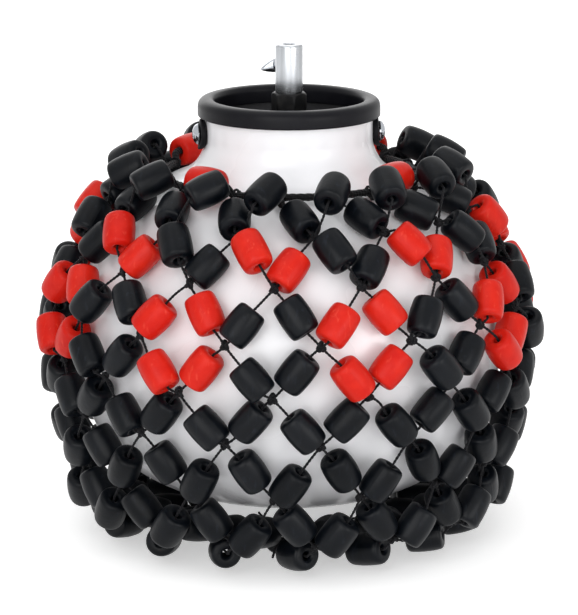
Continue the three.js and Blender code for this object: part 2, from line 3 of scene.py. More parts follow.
import bmesh
import bpy
import numpy as np
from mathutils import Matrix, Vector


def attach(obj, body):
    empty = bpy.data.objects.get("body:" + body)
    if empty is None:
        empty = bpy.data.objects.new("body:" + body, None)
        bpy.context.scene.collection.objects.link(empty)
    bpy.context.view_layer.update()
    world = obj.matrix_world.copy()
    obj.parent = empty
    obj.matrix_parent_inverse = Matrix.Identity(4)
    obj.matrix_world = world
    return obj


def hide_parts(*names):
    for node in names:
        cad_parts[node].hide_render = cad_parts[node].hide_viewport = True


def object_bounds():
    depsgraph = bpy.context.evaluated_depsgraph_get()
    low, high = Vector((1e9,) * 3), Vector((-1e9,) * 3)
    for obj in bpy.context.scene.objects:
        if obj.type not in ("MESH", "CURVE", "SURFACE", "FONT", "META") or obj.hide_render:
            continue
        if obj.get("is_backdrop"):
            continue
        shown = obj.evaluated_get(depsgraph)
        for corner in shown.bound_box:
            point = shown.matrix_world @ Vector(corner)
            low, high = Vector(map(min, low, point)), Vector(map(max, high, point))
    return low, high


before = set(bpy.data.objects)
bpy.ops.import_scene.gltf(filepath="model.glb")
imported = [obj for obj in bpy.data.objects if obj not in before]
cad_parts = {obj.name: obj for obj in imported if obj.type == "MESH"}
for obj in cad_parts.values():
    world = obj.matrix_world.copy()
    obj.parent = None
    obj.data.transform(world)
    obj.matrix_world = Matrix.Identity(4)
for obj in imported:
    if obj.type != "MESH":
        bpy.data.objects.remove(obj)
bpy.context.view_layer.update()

MM = 0.001
draw = np.random.default_rng(2026)

# Sizes of the gourd and its rubber, in millimetres
CLEARANCE = 0.3
SHELL_RADIUS = 114.2
SHELL_DEPTH = 97.5
SHOULDER_HEIGHT = 74.0
NECK_RADIUS = 44.5
NECK_FOOT = 92.0
NECK_TOP = 112.0
SHELL_WALL = 3.0
BOTTOM_HOLE_RADIUS = 13.0
SHOULDER_SHARES = [(0.407, 1.16), (0.444, 1.07), (0.508, 1.0), (0.582, 0.951),
                   (0.683, 0.851), (0.788, 0.696), (0.898, 0.446), (0.981, 0.149)]
BELLY_SHARES = [(1.0, 0.133), (0.984, 0.379), (0.921, 0.626), (0.814, 0.79),
                (0.665, 0.908), (0.508, 0.974), (0.35, 1.0)]
RIM_RADIUS = 48.6
RIM_BOTTOM = 105.5
RIM_HEIGHT = 9.5
RIM_LIP = 1.6
GROMMET_BORE = 8.0
GROMMET_FLANGE = 4.0
GROMMET_FLANGE_THICKNESS = 2.5

# Sizes of the bracket, its side bolts and the rod clamp
BRACKET_TURN = math.radians(-12.7)
BRACKET_WIDTH = 20.0
BRACKET_THICKNESS = 2.6
BRACKET_TOP = 104.0
BRACKET_EAR_DROP = 18.0
BRACKET_EAR_GAP = 1.6
BRACKET_BEND = 6.0
BOLT_AXIS_HEIGHT = 96.0
BOLT_RADIUS = 2.5
BOLT_PITCH = 0.8
WASHER_RADIUS = 8.2
WASHER_THICKNESS = 3.0
PAD_EDGE = 1.0
BOLT_HEAD_RADIUS = 5.6
BOLT_HEAD_HEIGHT = 3.6
SOCKET_ACROSS = 3.2
SOCKET_DEPTH = 1.8
INNER_WASHER_RADIUS = 4.6
INNER_WASHER_THICKNESS = 1.2
BOLT_NUT_ACROSS = 7.8
BOLT_NUT_THICKNESS = 5.0
BOLT_TIP_PROUD = 2.0
ROD_BORE_RADIUS = 3.5
TUBE_RADIUS = 7.3
TUBE_TOP = 143.4
TUBE_EDGE = 0.8
SHANK_RADIUS = 6.0
SHANK_BOTTOM = 86.0
SHANK_PITCH = 1.25
HUB_ACROSS = 16.5
HUB_THICKNESS = 11.5
HUB_EDGE = 1.2
HUB_WASHER_RADIUS = 11.0
HUB_WASHER_THICKNESS = 1.6
LOCK_NUT_THICKNESS = 6.0
NUT_FACE_SHARE = 0.98
NUT_CONE_SHARE = 1.05
THREAD_DEPTH_SHARE = 0.6
WING_SCREW_HEIGHT = 130.5
WING_SCREW_RADIUS = 2.5
WING_SCREW_PITCH = 0.8
WING_HUB_RADIUS = 4.6
WING_HUB_LENGTH = 8.0
WING_HUB_GAP = 3.0
WING_SPAN = 20.0
WING_HEIGHT = 9.0
WING_THICKNESS = 2.6
WING_SWEEP = 3.5

# Sizes and places of the bead net
COLUMNS = 16
BEAD_RADIUS = 8.7
BEAD_LENGTH = 20.4
BEAD_CORNER_SHARE = 1.035
BEAD_BORE = 2.0
BEAD_MOUTH = 0.35
BEAD_DIMPLE = 1.4
# How much beads differ: smallest size, tilt, bulge of the sides, oval swell and lean of the ends
BEAD_SMALLEST = 0.965
BEAD_TILT = 0.035
BEAD_BULGE = 0.012
BEAD_OVAL = 0.014
BEAD_LEAN = 0.012
CORD_RADIUS = 0.6
CORD_DRAWN_RADIUS = 0.7
CORD_PITCH = 4.2
CORD_LOBE = 0.15
KNOT_RADIUS = 1.5
# Knots and hitches: size, height, depth and cord of a knot, how far a hitch goes in half turns, and how
# much a cord bows, a cut end curls and its length varies
KNOT_SHARES = (1.25, 1.5)
TAIL_KNOT_SHARE = 1.35
KNOT_TALL_SHARE = 1.3
KNOT_DEEP_SHARE = 0.5
KNOT_CORD_SHARE = 1.35
HITCH_SHARES = (0.1, 1.06)
CORD_BOW = 0.35
CORD_CURL = 0.35
LOOSE_END_SHARES = (0.7, 1.2)
NECK_CORD_RADIUS = 2.0
NECK_CORD_PITCH = 16.0
BOTTOM_CORD_RADIUS = 1.2
BOTTOM_CORD_PITCH = 9.0
ROW_PLACE_SHARES = [0.121, 0.235, 0.334, 0.434, 0.527, 0.615, 0.722, 0.79, 0.87]
ROW_HANG_SHARES = [0, 0.12, 0.2, 0.2, 0.2, 0.3, 0.5, 2.1, 0.9]
BOTTOM_RING_PLACE_SHARE = 0.953
BOTTOM_RING_HANG_SHARE = 0.3
SLIDE_SHARES = {-1: [0.365, 0.36, 0.66, 0.6, 0.48, 0.48, 0.66, 0.6],
                1: [0.655, 0.64, 0.48, 0.48, 0.66, 0.66, 0.51, 0.44]}
RAISE_SHARES = {-1: [1.6, 0.6, 0.4, 0.55, 0, 0, 0.5, -0.6],
                1: [0.3, 0, 0, 0, 0.2, 0.4, 0, 0.6]}
TAIL_SLIDE_SHARE = 0.48
RING_BEAD_GAPS = [-3, 1, 5, -7]
RING_BEAD_SHIFT = 3.4
RING_BEAD_OFFSET = 0.9
LEG_ROWS = len(SLIDE_SHARES[1])
STEP = 2 * math.pi / COLUMNS
BEAD_HALF = BEAD_LENGTH / 2
BEAD_SEAT = BEAD_RADIUS * BEAD_CORNER_SHARE + 2 * CLEARANCE

# Detail: how many points go round or along a surface
SHELL_SEGMENTS = 144
SHELL_STEPS = 90
OUTLINE_STEPS = 200
TURNED_SEGMENTS = 64
HEX_SEGMENTS = 96
BEAD_SEGMENTS = 8
BEAD_FINENESS = 2
CORD_SIDES = 8
CORD_STEP = 0.6
RING_SPAN_STEPS = 12
HITCH_STEPS = 20
BOTTOM_RING_STEPS = 240
KNOT_STEPS = 30
BRACKET_SIDES = 28
PAD_SEGMENTS = 40
HEAD_SEGMENTS = 48
WING_SIDES = 24
THREAD_STEPS = 6
SHARP_ANGLE = math.radians(40.0)


# Vectors
def unit(vectors):
    """Each vector divided by its own length."""
    return vectors / np.linalg.norm(vectors, axis=-1, keepdims=True)


def square_to(vectors, along):
    """The part of each vector that is square to a unit direction, made one long."""
    return unit(vectors - np.sum(vectors * along, axis=-1, keepdims=True) * along)


def polar(angle, radius, height):
    """A place at an angle from the front towards +X, a distance from the rod's axis and a height."""
    angle, radius, height = np.broadcast_arrays(angle, radius, height)
    return np.stack([radius * np.sin(angle), -radius * np.cos(angle), height], axis=-1)


# Outline of the gourd below its neck
OUTLINE_POINTS = np.array([(NECK_RADIUS, NECK_FOOT)]
                          + [(r * SHELL_RADIUS, z * SHOULDER_HEIGHT) for r, z in SHOULDER_SHARES]
                          + [(r * SHELL_RADIUS, -z * SHELL_DEPTH) for r, z in BELLY_SHARES])


def cubic(p0, p1, p2, p3, t):
    """From p1 at t = 0 to p2 at t = 1: a cubic whose end slopes are half the chord past each end."""
    v1, v2 = (p2 - p0) / 2, (p3 - p1) / 2
    return (2 * p1 - 2 * p2 + v1 + v2) * t**3 + (3 * p2 - 3 * p1 - 2 * v1 - v2) * t**2 + v1 * t + p1


def outline_curve(share):
    """A smooth line through the outline's points, a cubic in each span."""
    last = len(OUTLINE_POINTS) - 1
    place = np.asarray(share, float) * last
    span = np.clip(np.floor(place).astype(int), 0, last - 1)
    corners = (OUTLINE_POINTS[np.clip(span + k, 0, last)] for k in (-1, 0, 1, 2))
    return cubic(*corners, (place - span)[..., None])


OUTLINE_SHARES = np.linspace(0, 1, OUTLINE_STEPS + 1)
OUTLINE_LENGTHS = np.concatenate(
    [[0], np.cumsum(np.linalg.norm(np.diff(outline_curve(OUTLINE_SHARES), axis=0), axis=1))])


def outline_at(share):
    """The point of the outline at a share of its length from the neck down."""
    return outline_curve(np.interp(share, OUTLINE_LENGTHS / OUTLINE_LENGTHS[-1], OUTLINE_SHARES))


def outline_along(share):
    """The outline's direction, from two points close on either side."""
    reach = 1e-4
    return unit(outline_at(np.minimum(share + reach, 1)) - outline_at(np.maximum(share - reach, 0)))


def outline_normal(share):
    """The outline's direction turned a quarter, so that it points out of the shell."""
    along = outline_along(share)
    return np.stack([-along[..., 1], along[..., 0]], axis=-1)


def beside_outline(share, distance):
    """A point at a distance outside the outline."""
    return outline_at(share) + outline_normal(share) * distance


# Places of the net's knots and beads
LOOP_RADIUS = NECK_CORD_RADIUS + CLEARANCE + CORD_RADIUS
BOTTOM_LOOP_RADIUS = BOTTOM_CORD_RADIUS + CLEARANCE + CORD_RADIUS
NECK_RING_LIFT = LOOP_RADIUS + CORD_RADIUS + CLEARANCE
NECK_RING_LINE = beside_outline(ROW_PLACE_SHARES[0], NECK_RING_LIFT)
BOTTOM_RING_LINE = beside_outline(BOTTOM_RING_PLACE_SHARE, BEAD_SEAT + BOTTOM_RING_HANG_SHARE * BEAD_RADIUS)
RING_BEAD_LIFT = BEAD_RADIUS * BEAD_CORNER_SHARE + CLEARANCE - NECK_RING_LIFT
RING_BEAD_SPREAD = (BEAD_HALF + CLEARANCE) / NECK_RING_LINE[0]
RING_BEAD_COLUMNS = {gap % COLUMNS for gap in RING_BEAD_GAPS}


def row_line(row):
    """The distance from the axis and the height of a row of knots."""
    if row == 0:
        return NECK_RING_LINE
    return beside_outline(ROW_PLACE_SHARES[row], BEAD_SEAT + ROW_HANG_SHARES[row] * BEAD_RADIUS)


def outward(angle, share):
    """The direction that points out of the shell."""
    normal = outline_normal(share)
    return polar(angle, normal[..., 0], normal[..., 1])


def top_shift(column):
    """How far a strand's hitch is pushed along the neck ring by a bead beside it, as an angle."""
    before, after = ((column - k) % COLUMNS in RING_BEAD_COLUMNS for k in (1, 0))
    return (before - after) * RING_BEAD_SHIFT / NECK_RING_LINE[0]


def leg_knot(hand, row, top_angle, tied=False):
    """Where one leg of a strand is knotted. Tied, the legs that meet there share one place."""
    line = row_line(row)
    if row == 0:
        spot = line + outline_along(ROW_PLACE_SHARES[0]) * (LOOP_RADIUS + KNOT_RADIUS)
        return polar(top_angle + (0 if tied else hand * KNOT_RADIUS / 2 / spot[0]), *spot)
    if row % 2:
        reach = STEP / 2 * line[0] - (0 if tied else KNOT_RADIUS + CLEARANCE / 2)
    else:
        reach = 0 if tied else KNOT_RADIUS / 2
    return polar(hand * reach / line[0], *line)


def leg_bead(hand, row, top_angle):
    """The centre, the direction and the outer side of the bead on one leg between two knots."""
    start = leg_knot(hand, row, top_angle)
    end = leg_knot(hand, row + 1, top_angle)
    along = unit(end - start)
    middle = (ROW_PLACE_SHARES[row] + ROW_PLACE_SHARES[row + 1]) / 2
    side = square_to(outward(hand * STEP / 4, middle), along)
    centre = start + (end - start) * SLIDE_SHARES[hand][row] + side * RAISE_SHARES[hand][row] * BEAD_RADIUS
    return centre, along, side


def ring_spot(angle, lift):
    """A place on the neck ring's line, lifted off the shell."""
    return polar(angle, *(NECK_RING_LINE + outline_normal(ROW_PLACE_SHARES[0]) * lift))


def ring_bead_angle(gap):
    """The angle at which a red bead sits on the neck ring."""
    return (gap + 0.5) * STEP - RING_BEAD_OFFSET / NECK_RING_LINE[0]


def turn_about_rod(points, angle):
    """Points turned about the rod's axis."""
    c, s = math.cos(angle), math.sin(angle)
    return points @ np.array([[c, s, 0], [-s, c, 0], [0, 0, 1]])


# Surfaces: each is a grid of points with rows along it and columns round it
class Grid:
    """Points [row, column, xyz] in millimetres. Columns close on themselves; rows may.

    v runs along the rows. The tone is one number for the grid or one for each row.
    """

    def __init__(self, points, closed=False, v=None, tone=0.5):
        self.points = points
        self.closed = closed
        rows = len(points) + (1 if closed else 0)
        self.v = np.linspace(0, 1, rows) if v is None else v
        self.tone = tone

    def moved(self, change):
        return Grid(change(self.points), self.closed, self.v, self.tone)

    def faces(self):
        """Four corners per face and their places on the unrolled surface, turned to point outwards."""
        rows, columns = self.points.shape[:2]
        i, j = np.meshgrid(np.arange(rows if self.closed else rows - 1), np.arange(columns), indexing="ij")
        corners = [(i, j), (i, j + 1), (i + 1, j + 1), (i + 1, j)]
        quads = np.stack([(a % rows) * columns + b % columns for a, b in corners], axis=-1).reshape(-1, 4)
        uv = np.stack([np.stack([b / columns, self.v[a]], axis=-1) for a, b in corners], axis=-2)
        uv = uv.reshape(-1, 4, 2)
        p = self.points.reshape(-1, 3)[quads]
        p = p - p.mean(axis=(0, 1))
        volume = np.sum(p[:, 0] * np.cross(p[:, 1], p[:, 2]) + p[:, 0] * np.cross(p[:, 2], p[:, 3]))
        if volume < 0:
            return quads[:, ::-1], uv[:, ::-1]
        return quads, uv


def placed(name, data):
    """A new object in the scene."""
    obj = bpy.data.objects.new(name, data)
    bpy.context.scene.collection.objects.link(obj)
    return obj


def piece(name, grids, finish, nodes, body="shell", finer=0):
    """A mesh of one or more closed grids that stands for CAD nodes and rides on a body.

    The finish is a material and the name of a slot, which is not used. Faces that meet at more than the sharp
    angle keep a hard edge, unless subdivision makes the mesh finer.
    """
    starts = np.cumsum([0] + [g.points[..., 0].size for g in grids[:-1]])
    sides = [g.faces() for g in grids]
    mesh = bpy.data.meshes.new(name)
    points = np.concatenate([g.points.reshape(-1, 3) for g in grids]) * MM
    mesh.from_pydata(points, [], np.concatenate([quads + s for (quads, _), s in zip(sides, starts)]))
    uv = np.concatenate([uv for _, uv in sides]).ravel()
    mesh.uv_layers.new(name="UVMap").data.foreach_set("uv", uv)
    tones = np.concatenate([(g.points[..., 0] * 0 + np.reshape(g.tone, (-1, 1))).ravel() for g in grids])
    mesh.attributes.new("tone", "FLOAT", "POINT").data.foreach_set("value", tones)
    welded = bmesh.new()
    welded.from_mesh(mesh)
    bmesh.ops.remove_doubles(welded, verts=welded.verts, dist=1e-3 * MM)
    welded.to_mesh(mesh)
    welded.free()
    mesh.shade_smooth()
    material, slot = finish
    mesh.materials.append(material)
    obj = placed(name, mesh)
    if finer:
        subdivision = obj.modifiers.new("finer", "SUBSURF")
        subdivision.levels = subdivision.render_levels = finer
    else:
        mesh.set_sharp_from_angle(angle=SHARP_ANGLE)
    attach(obj, body)
    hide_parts(*nodes)


def rounded(corners, steps=5):
    """A closed profile. At each corner (r, z, fillet) a parabola joins the points a fillet to each side."""
    spots = np.array([c[:2] for c in corners], float)
    fillets = np.array([c[2] for c in corners])[:, None]
    before = spots + unit(np.roll(spots, 1, axis=0) - spots) * fillets
    after = spots + unit(np.roll(spots, -1, axis=0) - spots) * fillets
    t = np.linspace(0, 1, steps)[:, None]
    curves = [(1 - t)**2 * a + 2 * t * (1 - t) * s + t**2 * b if f > 0 else s[None]
              for a, s, b, f in zip(before, spots, after, fillets[:, 0])]
    return np.concatenate(curves)


def circle(segments):
    """Angles evenly round a circle."""
    return np.linspace(0, 2 * math.pi, segments, endpoint=False)


def round_z(r, angle, z, closed=True):
    """A grid from distances to Z, angles about it and heights."""
    return Grid(np.stack([r * np.cos(angle), r * np.sin(angle), z + 0 * angle], axis=-1), closed)


def turned(profile, segments=TURNED_SEGMENTS, closed=True):
    """A profile of (radius, height) turned about Z."""
    profile = np.asarray(profile, float)
    return round_z(profile[:, :1], circle(segments), profile[:, 1:2], closed)


def washer(bore, radius, low, high, edge):
    """A flat ring with its outer edges rounded."""
    return turned(rounded([(bore, low, 0.1), (radius, low, edge), (radius, high, edge), (bore, high, 0.1)]))


def hexagon(angle, across):
    """How far a hexagon's side is: half its width over the cosine of the angle off the side's middle."""
    sector = math.pi / 3
    return across / 2 / np.cos((angle + sector / 2) % sector - sector / 2)


def nut(across, bore, low, high, edge):
    """A hexagon nut whose corners are cut by a cone at both ends, with its bore opened at the mouths."""
    angle = circle(HEX_SEGMENTS)
    inset = np.linspace(0, 1, 5)
    heights = np.concatenate([low + edge * inset, high - edge * inset[::-1]])
    reach = np.concatenate([inset, inset[::-1]])
    flat = across / 2 * NUT_FACE_SHARE
    corner = across / 2 / math.cos(math.pi / 6)
    cone = flat + (corner - flat) * reach[:, None] * NUT_CONE_SHARE
    outer = np.minimum(hexagon(angle, across)[None], cone)
    mouth = bore + edge / 2
    inner_heights = np.array([high, high - edge / 2, low + edge / 2, low])
    inner = np.array([mouth, bore, bore, mouth])[:, None] + 0 * angle
    return round_z(np.concatenate([outer, inner]), angle, np.concatenate([heights, inner_heights])[:, None])


def threaded(radius, pitch, low, high, bore=0.0):
    """A screw: its radius dips by 0.6 of the pitch in a wave that climbs one pitch in each turn."""
    angle = circle(TURNED_SEGMENTS // 2)
    z = np.arange(low, high, pitch / THREAD_STEPS)[:, None]
    fade = np.clip(np.minimum(z - low, high - z) / pitch, 0, 1)
    dip = pitch * THREAD_DEPTH_SHARE / 2
    r = radius - dip * (1 - np.cos(2 * math.pi * z / pitch - angle)) * fade - dip * (1 - fade)
    ends = [np.full_like(angle, bore)]
    return round_z(np.concatenate([ends, r, ends]), angle, np.concatenate([z[:1], z, z[-1:]]), bore > 0)


def section(centres, first, second, reach, angle):
    """Points round each centre, at a distance and an angle from one direction towards a second."""
    return (centres + first * (reach * np.cos(angle))[..., None]
            + second * (reach * np.sin(angle))[..., None])


def capped(points, line):
    """A grid's points with both ends drawn in to the ends of its middle line."""
    return np.concatenate([line[:1, None] + 0 * points[:1], points, line[-1:, None] + 0 * points[:1]])


def squared(wave, power):
    """A wave between -1 and 1 raised to a power without its sign: below 1 it fills out its corners."""
    return np.sign(wave) * np.abs(wave)**power


def along_x(points):
    """A piece drawn about Z laid along X."""
    return points[..., [2, 1, 0]] * [1, 1, -1]


def along_y(points):
    """A piece drawn about Z laid along Y."""
    return points[..., [0, 2, 1]] * [1, 1, -1]


# Shader expressions
def worked(operation, turned_round=False):
    """A method that works an operation on a value and, where it takes two, on another."""
    def method(value, *others):
        values = (value, *others)
        if turned_round:
            values = values[::-1]
        return value.web.node("ShaderNodeMath", {"operation": operation}, *values)
    return method


class Value:
    """A shader socket on which sums, differences and products can be written."""

    def __init__(self, web, socket):
        self.web = web
        self.socket = socket

    __add__ = __radd__ = worked("ADD")
    __sub__ = worked("SUBTRACT")
    __rsub__ = worked("SUBTRACT", turned_round=True)
    __mul__ = __rmul__ = worked("MULTIPLY")
    sine = worked("SINE")
    size = worked("ABSOLUTE")
    fraction = worked("FRACT")
    or_more = worked("MAXIMUM")

    def over(self, low, high):
        """0 below low, 1 above high, and straight between."""
        return self.web.node("ShaderNodeMapRange", {}, self, low, high)


class Web:
    """The nodes of a material or of the surroundings."""

    def __init__(self, tree):
        self.tree = tree

    def node(self, kind, settings, *values, output=0):
        """A node with its settings, its sockets fed in order by numbers, colours or links. None skips one."""
        node = self.tree.nodes.new(kind)
        for key, value in settings.items():
            setattr(node, key, value)
        for socket, value in zip(node.inputs, values):
            self.fill(socket, value)
        return Value(self, node.outputs[output])

    def fill(self, socket, value):
        if isinstance(value, Value):
            self.tree.links.new(value.socket, socket)
        elif value is not None:
            socket.default_value = value

    def seen_directly(self):
        """1 for a ray from the camera, a mirror or glass, 0 for light that falls on something."""
        camera, glossy, glass = (self.node("ShaderNodeLightPath", {}, output=k) for k in (0, 3, 6))
        return camera.or_more(glossy).or_more(glass)


class Finish(Web):
    """A material with one shader, its plain sockets given by name, and expressions for what varies."""

    def __init__(self, name, **plain):
        self.material = bpy.data.materials.new(name)
        self.material.use_nodes = True
        super().__init__(self.material.node_tree)
        self.shader = self.tree.nodes["Principled BSDF"]
        self.feed(**plain)

    def place(self):
        """Where a point of the piece lies, in metres."""
        return self.node("ShaderNodeTexCoord", {}, output=3)

    def stretched(self, scale):
        """The same place, with each axis multiplied."""
        return self.node("ShaderNodeVectorMath", {"operation": "MULTIPLY"}, self.place(), scale)

    def noise(self, scale, detail=3.0, place=None):
        """Cloudy values about one half, by place in metres."""
        return self.node("ShaderNodeTexNoise", {}, place or self.place(), None, scale, detail)

    def unrolled(self, axis):
        """Where a point lies round (0) or along (1) its own surface."""
        uv = self.node("ShaderNodeUVMap", {"uv_map": "UVMap"})
        return self.node("ShaderNodeSeparateXYZ", {}, uv, output=axis)

    def tone(self):
        """A number of its own for each bead; on the shell it is 1 on the inside wall, which is painted dark
        as shade.
        """
        return self.node("ShaderNodeAttribute", {"attribute_name": "tone"}, output=2)

    def mixed(self, share, *shades):
        """The first colour where share is 0, the second where it is 1."""
        ends = [shade if isinstance(shade, Value) else colour(*shade) for shade in shades]
        return self.node("ShaderNodeMix", {"data_type": "RGBA"}, share, *[None] * 5, *ends, output=2)

    def feed(self, **varying):
        for socket, value in varying.items():
            self.fill(self.shader.inputs[socket.replace("_", " ")], value)

    def relief(self, height, depth, strength=1.0):
        """Bumps whose height of 1 stands for a depth in metres."""
        bump = self.node("ShaderNodeBump", {})
        sockets = bump.socket.node.inputs
        for name, value in (("Strength", strength), ("Distance", depth), ("Height", height)):
            self.fill(sockets[name], value)
        self.feed(Normal=bump)


def colour(*seen):
    """A colour given as the eye sees it, from 0 to 255, turned into light."""
    return tuple(((c / 255 + 0.055) / 1.055)**2.4 if c > 10 else c / 255 / 12.92 for c in seen) + (1.0,)


def gourd_gloss():
    """White moulded shell: faint clouding, a clear coat, a long ripple of the skin, and its inside wall
    painted dark grey as shade.
    """
    f = Finish("gourd_gloss", Coat_Roughness=0.06, Coat_IOR=1.5)
    cloud = f.noise(9.0, 4.0)
    grain = f.noise(600.0, 2.0)
    inside = f.tone().over(0.4, 0.6)
    skin = f.mixed(cloud.over(0.35, 0.7), (246, 246, 249), (251, 251, 253))
    # Painted shade: the inside wall is coloured dark grey to stand in for the dimness inside the shell.
    painted_inside_shade = f.mixed(grain, (34, 34, 37), (58, 58, 61))
    f.feed(Base_Color=f.mixed(inside, skin, painted_inside_shade),
           Roughness=cloud.over(0.3, 0.75) * 0.08 + inside * 0.35 + 0.24,
           Coat_Weight=(1 - inside) * (grain * 0.1 + 0.2))
    f.relief(cloud * 0.85 + grain * 0.02, 0.0006, 0.35)
    return f.material


def rubber(name, shade, roughness):
    """Black rubber: fine skin, and dull and shinier patches, the duller ones a little lighter."""
    f = Finish(name, Specular_IOR_Level=0.14)
    patch = f.noise(60.0, 4.0)
    skin = f.noise(2600.0, 2.0)
    f.feed(Base_Color=f.mixed(patch.over(0.4, 0.75), shade, [c + 10 for c in shade]),
           Roughness=patch * 0.16 + roughness)
    f.relief(skin, 0.00006, 0.5)
    return f.material


def bead_satin(name, deep, pale, scuff, roughness):
    """Tumbled beads: each lighter or darker, clouded, scuffed along its length, with two mould lines."""
    f = Finish(name, Specular_IOR_Level=0.12, Coat_Roughness=0.25)
    cloud = f.noise(140.0, 4.0)
    scratch = f.noise(1.0, 3.0, f.stretched((420.0, 420.0, 90.0)))
    worn = scratch.over(0.6, 0.78)
    seam = ((f.unrolled(0) * 2.0 + 0.25).fraction() - 0.5).size().over(0.02, 0.0)
    shade = cloud.over(0.3, 0.7) * 0.6 + f.tone() * 0.4
    base = f.mixed(shade, deep, pale)
    f.feed(Base_Color=f.mixed(worn * 0.35, base, scuff),
           Roughness=cloud * 0.14 + worn * 0.08 + roughness,
           Coat_Weight=f.tone() * 0.08 + 0.03)
    f.relief(f.noise(320.0, 2.0) * 0.5 + cloud * 0.6 + seam * 0.25 - worn * 0.06, 0.0004, 0.5)
    return f.material


def twisted_cord(name, plies, turns):
    """Dark twisted cord: slanting plies across its unrolled surface, painted shade in the grooves between
    plies, fuzz and waxed spots.
    """
    f = Finish(name, Specular_IOR_Level=0.2, Sheen_Weight=0.04, Sheen_Roughness=0.5)
    slant = (f.unrolled(0) * (2 * math.pi * plies) + f.unrolled(1) * turns).sine()
    fuzz = f.noise(1800.0, 3.0)
    lay = slant * 0.35 + 0.5
    # Colour: painted shade, darker in the grooves between plies, mixed with a random fuzz tone.
    f.feed(Base_Color=f.mixed(lay * 0.6 + fuzz * 0.4, (4, 4, 6), (24, 24, 28)),
           Roughness=fuzz * 0.2 + 0.62)
    f.relief(lay + fuzz * 0.3, 0.00035, 0.8)
    return f.material


def braided_cord():
    """Thick braided cord: two slanting waves that cross leave a lozenge for each yarn, with painted shade
    between the yarns.
    """
    f = Finish("braided_cord", Specular_IOR_Level=0.2, Sheen_Weight=0.06, Sheen_Roughness=0.5)
    around = f.unrolled(0) * (2 * math.pi * 5)
    along = f.unrolled(1) * 1.9
    weave = (around + along).sine() * (around - along).sine()
    fuzz = f.noise(1500.0, 3.0)
    # Colour: painted shade, darker between the yarns, mixed with a random fuzz tone.
    f.feed(Base_Color=f.mixed(weave * 0.35 + fuzz * 0.5, (5, 5, 7), (28, 28, 32)),
           Roughness=fuzz * 0.2 + 0.6)
    f.relief(weave * 0.5 + fuzz * 0.25, 0.0006, 0.9)
    return f.material


def metal(name, shade, roughness, streaks, wear, lines=0.1):
    """Plated metal: streaks along the piece or a fine mottle, whose darker colour is painted reflection, and
    patches that are a little duller.
    """
    f = Finish(name, Metallic=1.0)
    streak = f.noise(1.0, 3.0, f.stretched(streaks))
    patch = f.noise(90.0, 4.0)
    dull = patch.over(0.45, 0.8)
    # Duller patches are wear; the darkening along streaks, set by lines, is painted reflection: dark bands
    # like those a mirror shows.
    darker = dull * wear + streak.over(0.45, 0.62) * lines
    f.feed(Base_Color=f.mixed(darker, shade, [int(c * 0.72) for c in shade]),
           Roughness=streak * 0.14 + dull * 0.1 + roughness)
    f.relief(streak, 0.00001, 0.3)
    return f.material


def black_oxide():
    """Blackened steel: dark, half shiny, with brown-grey rubbed patches."""
    f = Finish("black_oxide", Metallic=0.3, Specular_IOR_Level=0.25)
    rub = f.noise(260.0, 4.0).over(0.5, 0.8)
    f.feed(Base_Color=f.mixed(rub * 0.5, (12, 12, 14), (52, 50, 48)),
           Roughness=rub * 0.15 + 0.42)
    f.relief(f.noise(900.0, 2.0), 0.00008, 0.4)
    return f.material


# Each finish with the name of its slot
GOURD = gourd_gloss(), "gourd"
RUBBER = rubber("rim_rubber", (10, 10, 15), 0.3), "black_rubber"
GROMMET_RUBBER = rubber("grommet_rubber", (15, 15, 18), 0.5), "black_rubber"
BEAD_BLACK = bead_satin("bead_black", (1, 3, 6), (8, 12, 18), (36, 42, 52), 0.34), "black_bead"
BEAD_RED = bead_satin("bead_red", (192, 22, 13), (212, 40, 24), (230, 96, 72), 0.33), "red_bead"
CORD = twisted_cord("cord_twisted", 2, 3.2), "cord"
BRAID = braided_cord(), "cord"
# The tube's streaks are darkened strongly as painted reflection bands.
TUBE_METAL = metal("tube_metal", (198, 201, 205), 0.17, (240.0, 240.0, 5.0), 0.15, 0.45), "chrome"
CHROME = metal("bright_plating", (180, 184, 190), 0.05, (300.0, 300.0, 300.0), 0.1), "chrome"
ZINC = metal("zinc_plating", (176, 178, 184), 0.28, (500.0, 90.0, 500.0), 0.5), "plated_steel"
OXIDE = black_oxide(), "black_metal"


# Gourd, rim band and grommet
def gourd_shell():
    """The outline turned about the rod, its wall set inside it, with a rounded lip and an edged hole."""
    shares = np.linspace(0, 1, SHELL_STEPS)
    outer = beside_outline(shares, 0)
    inner = beside_outline(shares, -SHELL_WALL)[:-1][::-1]
    floor = outer[-1, 1]
    hole = [(BOTTOM_HOLE_RADIUS + 1, floor), (BOTTOM_HOLE_RADIUS, floor + 1),
            (BOTTOM_HOLE_RADIUS, floor + SHELL_WALL)]
    rise = np.linspace(NECK_TOP - 1, NECK_FOOT, 8)
    neck = np.stack([NECK_RADIUS + 0 * rise, rise], axis=1)[:-1]
    back = neck[::-1] - [SHELL_WALL, 0]
    lip = [(NECK_RADIUS - SHELL_WALL + 1, NECK_TOP), (NECK_RADIUS - 1, NECK_TOP)]
    profile = np.concatenate([neck, outer, hole, inner, back, lip])
    body = turned(profile, SHELL_SEGMENTS)
    skin = len(neck) + len(outer) + 1
    row = np.arange(len(profile))
    # Rows of the inside wall get tone 1, where the finish paints shade in dark grey.
    body.tone = np.where((row >= skin) & (row < len(profile) - 1), 1.0, 0.0)
    piece("gourd_body", [body], GOURD, ["gourd_shell"])


